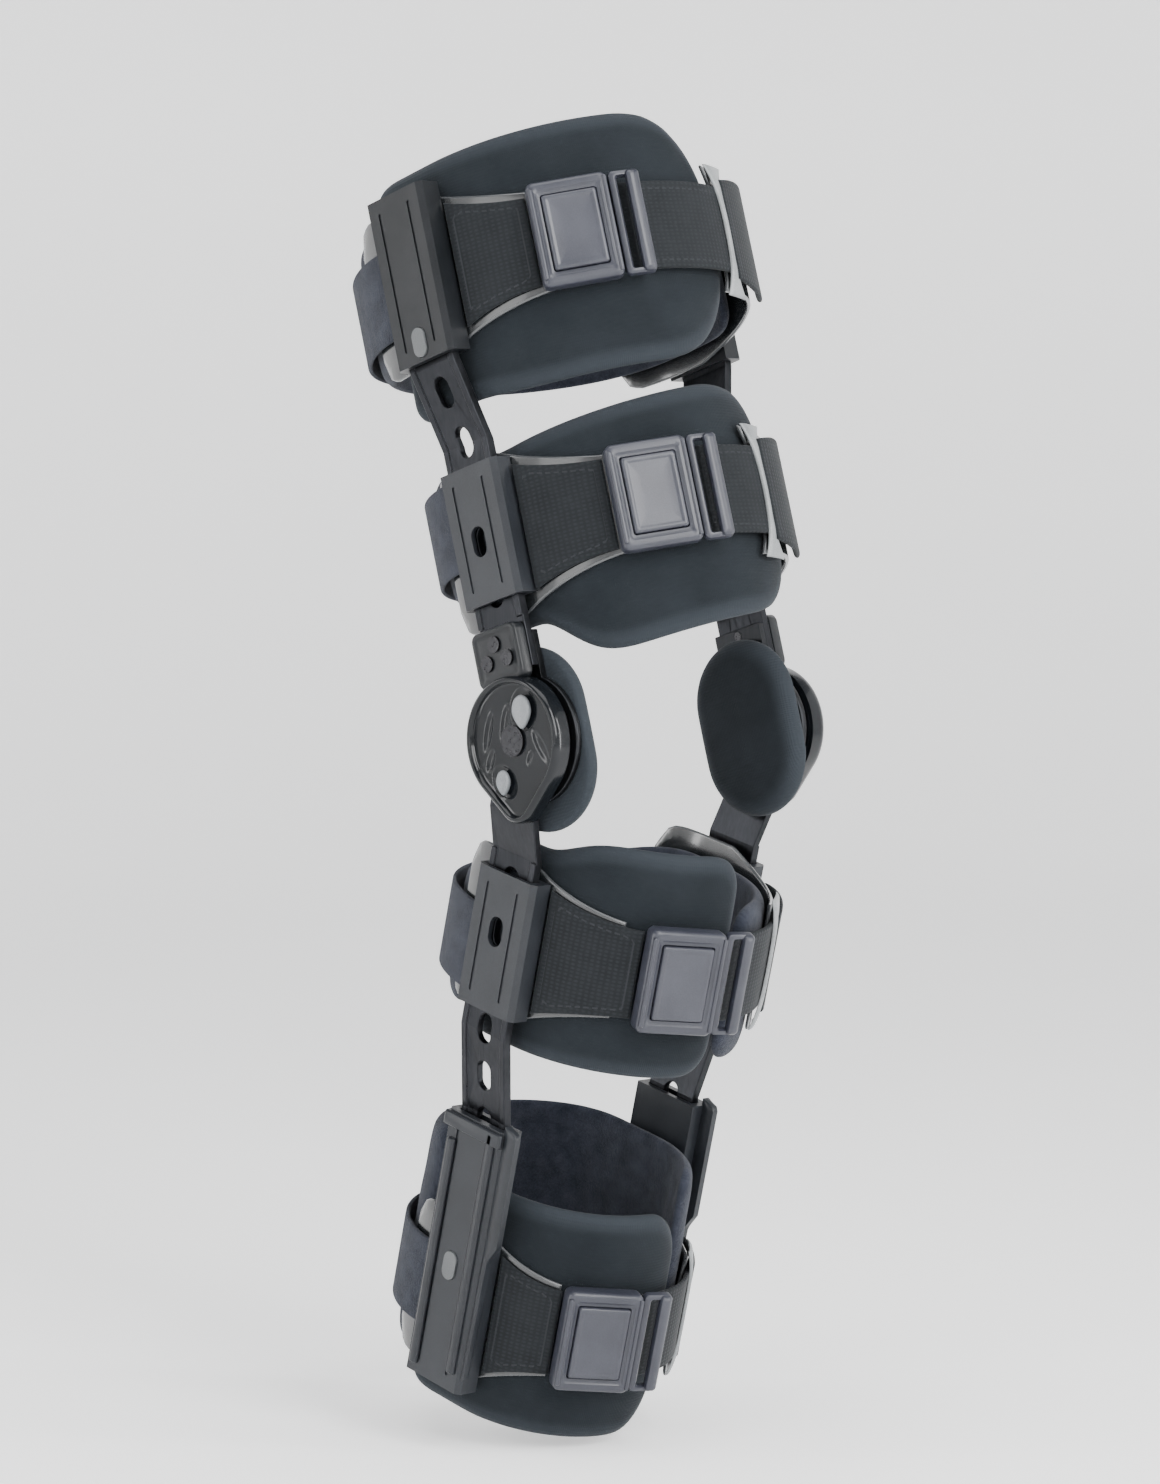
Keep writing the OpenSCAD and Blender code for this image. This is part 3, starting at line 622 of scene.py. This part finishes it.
def strap_faces(c, low_radius, dip=None):
    """Radii of a strap's faces: webbing with rolled edges that rises and falls slightly along its way."""
    def lift(u, s):
        return 0.25 + 0.25 * np.sin(u / 9.0 + c) + (dip(u, s) if dip else 0)

    def outer(d, u, s):
        return low_radius + 1 + (STRAP_T / 2) * rounding(d, 1.0) + lift(u, s)

    def inner(d, u, s):
        return low_radius + 1 - (STRAP_T / 2) * rounding(d, 1.0) + lift(u, s)

    return outer, inner


def cuff_straps(c):
    """A cuff's panel and webbing in front, the folded tab past the medial wing, and the strap behind."""
    body, name = f"{CUFFS[c]}_cuff", CUFFS[c]
    middle, angle = strap_middle(c)
    front = edges_of(f"{name}_front_strap", c, -90, 260)
    panel = part_of(front, c, 0, math.degrees(angle))
    web = part_of(front, c, math.degrees(angle), 200)
    web = (np.append(web[0][0] - UNDER_BUCKLE, web[0]), np.append(web[1][0], web[1]),
           np.append(web[2][0], web[2]))
    sheets = [wrapped(c, panel, *strap_faces(c, STRAP_R[c]), step=3, ease=1.5, row_ease=1.0),
              wrapped(c, web, *strap_faces(c, STRAP_R[c]), step=3, ease=1.5, row_ease=1.0)]
    attributes = {key: np.concatenate([sheet[2][key] for sheet in sheets]) for key in ("lie", "rim")}
    piece(f"{name}_front_strap_web", [sheet[:2] for sheet in sheets], webbing, body,
          [f"{name}_front_strap"], attributes)

    plate = part_of(edges_of(f"{name}_wings", c, -90, 260), c, 90, 220)
    start = float(plate[0][0]) + TAB_START
    tab_u = np.linspace(start, start + TAB_LONG, 24)
    half = 20.5 + 4.5 * np.sin(np.linspace(0.3, 2.4, 24))
    half = half - 8 * np.clip(1 - (tab_u[-1] - tab_u) / 9, 0, 1) ** 2

    def fold(u, s):
        """The folded end lies over the webbing and stands up slightly at its loose end."""
        along = (u - start) / TAB_LONG
        loose_end = np.clip((u - start - 30) / (TAB_LONG - 30), 0, 1)
        return 2.0 + 0.8 * np.sin(along * math.pi) + 1.2 * loose_end ** 2

    tab = wrapped(c, (tab_u, middle - half, middle + half), *strap_faces(c, STRAP_R[c], fold), step=2.5,
                  ease=1.5, row_ease=1.0)
    piece(f"{name}_strap_tab", [tab[:2]], webbing, body, (), tab[2])

    bar_u = np.linspace(start - 5.0, start - 1.0, 5)
    bar_face = STRAP_R[c] + 2.6

    def bowed(u, s):
        """A bar that bows back in its middle and flares into a three-cornered foot at each end."""
        t = np.abs(s - middle) / EDGE_BAR_HALF
        return (u - bar_u[0]) * (3.4 * t ** 4 - 0.35) - 4.0 * t ** 2 + 3.0

    def bar_inner(d, u, s):
        return bar_face - 2.4 * np.abs((s - middle) / EDGE_BAR_HALF) ** 4

    def bar_outer(d, u, s):
        return bar_inner(d, u, s) + 1.5 * rounding(d, 1.0)

    bar = wrapped(c, (bar_u, np.full(5, middle - EDGE_BAR_HALF), np.full(5, middle + EDGE_BAR_HALF)),
                  bar_outer, bar_inner, step=1.0, ease=0.9, row_step=2.5, row_ease=0.9, bend=bowed)
    piece(f"{name}_wing_edge_bar", [bar[:2]], edge_grey, body, (), bar[2])

    back = edges_of(f"{name}_back_strap", c, 60, 400)
    sheet = wrapped(c, back, *strap_faces(c, STRAP_R[c]), step=4, ease=1.5, row_ease=1.0)
    piece(f"{name}_back_strap_web", [sheet[:2]], loop_cloth, body, [f"{name}_back_strap"],
          sheet[2])


for cuff in range(4):
    cuff_straps(cuff)


# ---------------------------------------------------------------- buckles

# Each profile is (half length, half width, corner, height), as moulded() takes it.
BUCKLE_BODY = ((13, 18.5, 2, 0), (15.8, 21.3, 2.4, 0), (16.8, 22.3, 2.8, 0.9), (17, 22.5, 3, 1.8),
               (17, 22.5, 3, 6.8), (16.7, 22.2, 2.8, 7.8), (16.0, 21.5, 2.4, 8.5), (15.0, 20.5, 2.0, 8.8),
               (13.6, 18.6, 1.6, 8.8), (13.1, 18.0, 1.4, 8.3), (12.5, 17.2, 1.3, 8.2), (12.0, 16.6, 1.2, 8.1),
               (11.8, 16.3, 1.1, 7.7), (11.8, 16.3, 1.1, 3.3), (9, 13, 1, 3.3))
PUSH_BODY = ((10.5, 15, 0.8, 5.4), (11.5, 16, 1.1, 5.8), (11.5, 16, 1.1, 8.8), (11.3, 15.8, 1.0, 9.2),
             (10.9, 15.4, 0.9, 9.5), (10.3, 14.8, 0.8, 9.6), (9.6, 14.1, 0.7, 9.55), (9.2, 13.7, 0.6, 9.35),
             (8.6, 13.0, 0.5, 9.3), (5, 8, 0.4, 9.2))
WEB_BAR = ((2.6, 21.6, 1.6, 3.6), (3.0, 22.0, 1.9, 4.6), (2.9, 21.9, 1.8, 6.4), (2.3, 21.2, 1.4, 7.6),
           (1.2, 20.2, 0.8, 8.1), (0.4, 19.4, 0.2, 8.2))
SLIDER_BAR = ((6.6, 22.4, 2.4, 3.0), (6.6, 22.4, 2.4, 4.6), (6.2, 22.0, 2.2, 5.8), (5.2, 21.0, 1.8, 6.4),
              (3.9, 20.2, 1.4, 6.3), (3.2, 19.8, 1.2, 5.4), (3.0, 19.6, 1.0, 4.2), (3.0, 19.6, 1.0, 3.2),
              (3.4, 20.0, 1.2, 2.4), (5.8, 21.6, 2.0, 2.4))
RIB = ((1.0, 19.5, 0.6, 7.8), (1.0, 19.5, 0.6, 9.3), (0.7, 19.2, 0.5, 9.7), (0.3, 18.8, 0.2, 9.8))
STEP = ((0.8, 20.5, 0.5, 7.8), (0.8, 20.5, 0.5, 9.1), (0.4, 20.1, 0.3, 9.4))
TONGUE = ((9, 16, 1, 1.2), (9.5, 16.8, 1.2, 1.5), (9.5, 16.8, 1.2, 2.7), (9, 16.4, 1, 3.0))
RIB_AT, STEP_AT, TONGUE_AT, SLIDER_AT, WEB_BAR_AT = -15.6, 15.8, 11.5, 24.2, 27.9


def on_buckle(c, points):
    """Places points (round the limb, along it, height above the buckle's underside) on cuff c. The
    piece sags towards its ends with the curve of the limb."""
    middle, angle = strap_middle(c)
    round_limb, along, height = np.asarray(points, float).reshape(-1, 3).T
    r = BUCKLE_R[c] + height - np.clip(np.abs(round_limb) - 17, 0, None) ** 2 / 90
    x = FRONT_FLAT[c] + r * math.sin(angle) + round_limb * math.cos(angle)
    y = -r * math.cos(angle) + round_limb * math.sin(angle)
    return limb_point(c, x, y, middle + along)


def buckle_part(c, profile, at=0.0, closed=False):
    """Points and faces of a moulding on cuff c's buckle, at a distance round the limb from its middle."""
    points, faces = moulded(profile, closed, at=(at, 0))
    return on_buckle(c, points), faces


def cuff_buckle(c):
    """Buckle body with a side rib, its push button, and the slider with the bar that the webbing rounds."""
    name, body = CUFFS[c], f"{CUFFS[c]}_cuff"
    piece(f"{name}_buckle_body",
          [buckle_part(c, BUCKLE_BODY), buckle_part(c, RIB, RIB_AT), buckle_part(c, STEP, STEP_AT)],
          buckle_grey, body, [f"{name}_buckle"])
    piece(f"{name}_push_cap", [buckle_part(c, PUSH_BODY)], push_grey,
          f"{name}_push_button", [f"{name}_push_button"])
    piece(f"{name}_buckle_slider",
          [buckle_part(c, SLIDER_BAR, SLIDER_AT, closed=True), buckle_part(c, WEB_BAR, WEB_BAR_AT),
           buckle_part(c, TONGUE, TONGUE_AT)],
          buckle_grey, body, [f"{name}_tongue"])


for cuff in range(4):
    cuff_buckle(cuff)
for obj in bpy.context.scene.objects:
    if obj.name.endswith(("buckle_body", "push_cap", "buckle_slider")):
        obj.data.set_sharp_from_angle(angle=math.radians(38))


# ---------------------------------------------------------------- hinges

DIAL_POINTS = 160
STOP_POINTS = 48
STOP_STEM_R = 2.2
STOP_SPIN = math.radians(-12)
NECK_START = 24.0
# (centre, half sizes, turn in radians, depth) of each pocket in the cover's floor: the flexion stop's,
# the extension stop's, and five shallow ones
POCKETS = (((9.0, 10.7), (7.4, 9.2), -0.35, 0.9),
           ((-9.6, -15.4), (6.0, 8.0), 0.5, 0.9),
           ((-13.5, 7.0), (2.0, 9.5), -0.5, 0.6),
           ((-3.0, 8.0), (2.2, 8.5), -0.45, 0.5),
           ((-15.5, -5.0), (1.8, 5.5), -0.6, 0.6),
           ((7.5, -9.0), (1.2, 3.6), -0.7, 0.5),
           ((15.0, -6.0), (2.4, 8.5), 0.35, 0.4))


def dial_loop(inset):
    """Outline of the round dial and its blunt nose, inset all round. For each normal direction the point
    lies on whichever of the two circles reaches further, and the loop is then spaced evenly."""
    turn = np.linspace(0, 2 * math.pi, 721)[:-1]
    normal = np.stack([np.cos(turn), np.sin(turn)], -1)
    nose = np.array(NOSE_AT, float)
    further = (NOSE_R + normal @ nose) > DIAL_R
    loop = np.where(further[:, None], nose + (NOSE_R - inset) * normal, (DIAL_R - inset) * normal)
    loop = np.concatenate([loop, loop[:1]])
    length = np.concatenate([[0], np.cumsum(np.linalg.norm(np.diff(loop, axis=0), axis=1))])
    even = np.linspace(0, length[-1], DIAL_POINTS + 1)[:-1]
    return np.stack([np.interp(even, length, loop[:, k]) for k in (0, 1)], -1)


def dent(x, z, at, half, turn, depth, soft=0.8):
    """A shallow pocket: depth inside a turned ellipse, easing to 0 across its edge."""
    cos, sin = math.cos(turn), math.sin(turn)
    dx, dz = x - at[0], z - at[1]
    r = np.hypot((dx * cos + dz * sin) / half[0], (dz * cos - dx * sin) / half[1])
    return -depth * np.clip((1 - r) * min(half) / soft, 0, 1)


def hinge_dial(sign):
    """Points and faces of the cover's dial: a raised rounded rim round a sunken floor with pockets."""
    rim_top = COVER_HIGH + 1.3
    profile = [(0, COVER_LOW), (0, COVER_HIGH - 2.2), (0.2, COVER_HIGH - 0.6), (0.8, rim_top - 0.5),
               (1.5, rim_top - 0.05), (2.0, rim_top), (2.6, rim_top - 0.3), (3.1, FLOOR_LOW + 0.7),
               (3.4, FLOOR_LOW + 0.1), (4.0, FLOOR_LOW)]
    loops = [np.column_stack([dial_loop(o), np.full(DIAL_POINTS, h)]) for o, h in profile]
    last = loops[-1]
    for share in np.linspace(0.97, 0.0, 34):
        x, z = last[:, 0] * share, last[:, 1] * share
        height = FLOOR_LOW + np.min([dent(x, z, *pocket) for pocket in POCKETS], 0)
        loops.append(np.column_stack([x, z, height]))
    faces = tube_faces(len(loops), DIAL_POINTS).tolist() + [list(range(DIAL_POINTS))]
    flat = np.array(loops).reshape(-1, 3)
    return limb_point(0, flat[:, 0], sign * flat[:, 2], flat[:, 1]), faces


def hinge_neck(sign, end):
    """Points and faces of the neck plate above the dial, with a raised border round a sunken face."""
    half_long, middle = (end - NECK_START) / 2, (end + NECK_START) / 2
    profile = [(0.6, 3, COVER_LOW), (0, 3.4, COVER_LOW + 0.5), (0, 3.4, COVER_HIGH - 1.8),
               (0.5, 3.1, COVER_HIGH - 1.0), (1.4, 2.4, COVER_HIGH - 0.7), (2.2, 2, COVER_HIGH - 0.9),
               (2.8, 1.6, FLOOR_LOW), (5, 1, FLOOR_LOW)]
    points, faces = moulded([(NECK_W / 2 - o, half_long - o, corner, h) for o, corner, h in profile],
                            at=(0, middle))
    flat = points.reshape(-1, 3)
    return limb_point(0, flat[:, 0], sign * flat[:, 2], flat[:, 1]), faces


def hinge_cover(side):
    """Glossy dial cover of one hinge and its neck plate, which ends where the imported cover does."""
    sign = SIDE_SIGN[side]
    cover = piece(f"{side}_hinge_dial", [hinge_dial(sign)], cover_gloss, "thigh_frame",
                  [f"{side}_hinge_cover"])
    cover.data.set_sharp_from_angle(angle=math.radians(50))
    end = limb_coordinates(0, node_points(f"{side}_hinge_cover"))[:, 2].max()
    neck = piece(f"{side}_hinge_neck", [hinge_neck(sign, end)], sleeve_black,
                 "thigh_frame")
    neck.data.set_sharp_from_angle(angle=math.radians(45))


def dial_stop(side, kind, radius, angle, half, tip):
    """Shield-shaped stop: a round stem under a domed face, whose outline narrows to a point below. It
    lies at a radius and an angle in degrees on the dial."""
    node = f"{side}_{kind}_stop"
    turn = np.linspace(0, 2 * math.pi, STOP_POINTS + 1)[:-1]
    below = np.clip(-np.sin(turn), 0, 1)
    shield = np.stack([half[0] * np.cos(turn) * (1 - 0.42 * below ** 2),
                       half[1] * np.sin(turn) * (1 + (tip - 1) * below)], -1)
    stem = shield / np.linalg.norm(shield, axis=1, keepdims=True) * STOP_STEM_R
    low = FLOOR_LOW + 0.35
    face = [(0.96, 0.0), (1.0, 0.5), (0.99, 1.1), (0.93, 1.7), (0.82, 2.0), (0.6, 1.7), (0.35, 1.5),
            (0.1, 1.45)]
    loops = [np.column_stack([stem, np.full(STOP_POINTS, low + h)]) for h in (-2.9, 0.0)]
    loops += [np.column_stack([shield * share, np.full(STOP_POINTS, low + h)]) for share, h in face]
    faces = tube_faces(len(loops), STOP_POINTS).tolist()
    faces += [list(range(STOP_POINTS)), list(range(STOP_POINTS * (len(loops) - 1), STOP_POINTS * len(loops)))]
    flat = np.array(loops).reshape(-1, 3)
    lean, cos, sin = math.radians(angle), math.cos(STOP_SPIN), math.sin(STOP_SPIN)
    x = radius * math.cos(lean) + flat[:, 0] * cos - flat[:, 1] * sin
    z = radius * math.sin(lean) + flat[:, 0] * sin + flat[:, 1] * cos
    obj = piece(f"{node}_shield", [(limb_point(0, x, SIDE_SIGN[side] * flat[:, 2], z), faces)], dial_grey,
                node, [node])
    obj.data.set_sharp_from_angle(angle=math.radians(45))


for side in SIDE_SIGN:
    hinge_cover(side)
    dial_stop(side, "flexion", 14, 50, (5.2, 6.4), 1.2)
    dial_stop(side, "extension", 18, 238, (3.6, 5.0), 1.1)


# ---------------------------------------------------------------- kept metal and sleeves

def crisp(node, material, width):
    """Gives a kept node its finish, and rounds its edges by width millimetres for the light to catch."""
    obj = frame["nodes"][node]
    obj.data.materials.clear()
    obj.data.materials.append(material)
    weld = obj.modifiers.new("weld", "WELD")
    weld.merge_threshold = 1e-5
    bevel = obj.modifiers.new("edges", "BEVEL")
    bevel.width = width * MM
    bevel.segments = 2
    bevel.limit_method = "ANGLE"
    bevel.angle_limit = math.radians(32)
    bevel.harden_normals = True


for side in SIDE_SIGN:
    crisp(f"{side}_thigh_bar", bar_black, 0.5)
    crisp(f"{side}_shank_bar", bar_black, 0.5)
    crisp(f"{side}_hinge_base", hinge_black, 0.5)
    crisp(f"{side}_thigh_length_button", button_grey, 0.6)
    crisp(f"{side}_calf_length_button", button_grey, 0.6)
crisp("hinge_axles", steel, 0.4)
crisp("hinge_rivets", steel, 0.4)
crisp("upper_thigh_sleeves", sleeve_black, 0.9)
crisp("lower_thigh_carriages", carriage_black, 0.7)
crisp("upper_calf_carriages", carriage_black, 0.7)
crisp("lower_calf_sleeves", carriage_black, 0.9)


LIMB_COVER = {0: 88.25, 3: 63.25}
FLANGE_ROWS, FLANGE_POINTS = 60, 16
FLANGE_T, FLANGE_BACK = 4.2, 16.6
LONG_RIDGE = ((2.3, 1.0, 1.0, -0.3), (2.3, 1.0, 1.0, 0.8), (1.7, 0.6, 0.6, 1.6), (0.9, 0.3, 0.3, 1.9))


def on_sleeve(c, sign, points, middle):
    """Places points (across a sleeve's face, along it, height above it) on one side of cuff c."""
    across, along, height = np.asarray(points, float).reshape(-1, 3).T
    return limb_point(c, across, sign * (LIMB_COVER[c] + height), middle + along)


def stretched(profile, half_long, half_wide=0.0):
    """A moulding profile made longer and wider by the same amounts at every height."""
    return [(a + half_wide, b + half_long, r, h) for a, b, r, h in profile]


def calf_sleeve_ridges(side, low, high):
    """Raised collar at the lower sleeve's mouth and two long rounded ridges on its face."""
    sign, parts = SIDE_SIGN[side], []
    for x, start, end in ((11.5, low + 2, high - 8), (-11.5, low + 12, high - 4)):
        points, faces = moulded(stretched(LONG_RIDGE, (end - start) / 2 - 1), at=(x, 0))
        parts.append((on_sleeve(3, sign, points, (start + end) / 2), faces))
    points, faces = moulded(stretched(LONG_RIDGE, 2.2, 15.4))
    parts.append((on_sleeve(3, sign, points, low + 4), faces))
    piece(f"{side}_calf_sleeve_ridges", parts, carriage_black, "lower_calf_cuff")


def calf_sleeve_flange(side, low, high):
    """Stepped flange that stands forward of the lower sleeve: full width from the collar down to a step,
    then narrower, and narrower still towards the closed end."""
    along = np.linspace(low - 3, high - 6, FLANGE_ROWS)
    share = (along - low) / (high - low)
    step = 4.2 * np.clip((share - 0.42) / 0.06, 0, 1) + 2.0 * np.clip((share - 0.48) / 0.5, 0, 1)
    reach = 23.9 - np.where(share < 0.42, 0, step)
    ends = np.clip(np.minimum(along - along[0], along[-1] - along), 0, 4)
    reach = FLANGE_BACK + 0.4 + (reach - FLANGE_BACK - 0.4) * rounding(ends, 4)
    turn = np.linspace(0, 2 * math.pi, FLANGE_POINTS + 1)[:-1]
    across = np.clip(np.cos(turn) * 1.4, -1, 1)
    deep = np.sin(turn) * FLANGE_T / 2
    x = FLANGE_BACK + (reach[:, None] - FLANGE_BACK) * (across + 1) / 2
    y = SIDE_SIGN[side] * (LIMB_COVER[3] - 3.0 + deep)
    points = limb_point(3, x, y[None, :], along[:, None])
    last = (FLANGE_ROWS - 1) * FLANGE_POINTS
    faces = tube_faces(FLANGE_ROWS, FLANGE_POINTS).tolist()
    faces += [list(range(FLANGE_POINTS)), list(range(last, last + FLANGE_POINTS))]
    obj = piece(f"{side}_calf_sleeve_flange", [(points, faces)], carriage_black,
                "lower_calf_cuff")
    obj.data.set_sharp_from_angle(angle=math.radians(50))


along_sleeve = limb_coordinates(3, node_points("lower_calf_sleeves"))[:, 2]
for side in SIDE_SIGN:
    calf_sleeve_ridges(side, along_sleeve.min(), along_sleeve.max())
    calf_sleeve_flange(side, along_sleeve.min(), along_sleeve.max())


# ---------------------------------------------------------------- studio

FLOOR_R, BEND_R, WALL_H = 2800, 900, 3000
CAMERA_AZIMUTH, CAMERA_ELEVATION = 45.2, 3.2
CAMERA_DISTANCE, CAMERA_LENS = 1800, 102.8
CAMERA_RIGHT, CAMERA_UP = -29.3, -3.6


def studio():
    """Pale floor that curves up into a wall all round: a profile of radius and height, carried round."""
    floor = cad_box[0].z / MM - 3
    bend = np.linspace(0, math.pi / 2, 17)
    radius = np.concatenate([[0, 600, 1400], FLOOR_R + BEND_R * np.sin(bend), [FLOOR_R + BEND_R]])
    height = np.concatenate([[0, 0, 0], BEND_R * (1 - np.cos(bend)), [WALL_H]]) + floor
    turn = np.linspace(0, 2 * math.pi, 97)[:-1]
    points = np.stack([radius[:, None] * np.cos(turn), radius[:, None] * np.sin(turn),
                       np.broadcast_to(height[:, None], (len(radius), len(turn)))], -1)
    mesh = bpy.data.meshes.new("studio_floor")
    mesh.from_pydata((points.reshape(-1, 3) * MM).tolist(), [], tube_faces(len(radius), len(turn)).tolist())
    mesh.shade_smooth()
    paper = Finish("pale_paper", 0.9, Specular_IOR_Level=0.1, Emission_Color=(1, 1, 1, 1),
                   Emission_Strength=0.42)
    paper.link(paper.ramp(paper.noise(paper.object_position(), 2.0), 0.3, 0.7, (0.92, 0.92, 0.92),
                          (0.95, 0.95, 0.95)), "Base Color")
    mesh.materials.append(paper.material)
    obj = bpy.data.objects.new("studio_floor", mesh)
    bpy.context.scene.collection.objects.link(obj)


def outwards(azimuth, elevation):
    """Unit vector from the knee at angles in degrees: 0, 0 faces the lateral side, 90, 0 the front."""
    az, el = math.radians(azimuth), math.radians(elevation)
    return Vector((math.sin(az) * math.cos(el), -math.cos(az) * math.cos(el), math.sin(el)))


def camera():
    """Camera straight at the brace from the front of its lateral side, moved a little sideways."""
    az = math.radians(CAMERA_AZIMUTH)
    out = outwards(CAMERA_AZIMUTH, CAMERA_ELEVATION)
    right = Vector((math.cos(az), math.sin(az), 0))
    up = out.cross(right)
    made = bpy.data.objects.new("camera", bpy.data.cameras.new("camera"))
    made.data.lens, made.data.sensor_width = CAMERA_LENS, 36
    made.data.clip_start, made.data.clip_end = 0.05, 50
    made.location = (out * CAMERA_DISTANCE + right * CAMERA_RIGHT + up * CAMERA_UP) * MM
    made.rotation_mode = "QUATERNION"
    made.rotation_quaternion = out.to_track_quat("Z", "Y")
    bpy.context.scene.collection.objects.link(made)
    bpy.context.scene.camera = made


def soft_light(name, azimuth, elevation, distance, size, power):
    """Area light at an angle round the brace, facing its knee."""
    out = outwards(azimuth, elevation)
    data = bpy.data.lights.new(name, "AREA")
    data.shape, data.size, data.size_y, data.energy = "RECTANGLE", size[0], size[1], power
    made = bpy.data.objects.new(name, data)
    made.location = out * distance
    made.rotation_mode = "QUATERNION"
    made.rotation_quaternion = out.to_track_quat("Z", "Y")
    bpy.context.scene.collection.objects.link(made)


studio()
camera()
soft_light("key_box", 78, 30, 1.9, (0.7, 1.5), 42)
soft_light("fill_box", 5, 15, 2.1, (1.0, 1.6), 12)
soft_light("top_box", 45, 78, 1.8, (1.6, 1.2), 26)
soft_light("front_strip", 50, 4, 2.4, (0.10, 1.5), 7)
soft_light("rim_strip", 118, 8, 1.7, (0.18, 1.6), 20)
soft_light("side_strip", -35, 8, 1.7, (0.22, 1.6), 10)
world = bpy.data.worlds.new("studio")
world.use_nodes = True
world.node_tree.nodes["Background"].inputs["Color"].default_value = (0.95, 0.96, 1.0, 1)
world.node_tree.nodes["Background"].inputs["Strength"].default_value = 0.30
bpy.context.scene.world = world

bpy.context.view_layer.update()
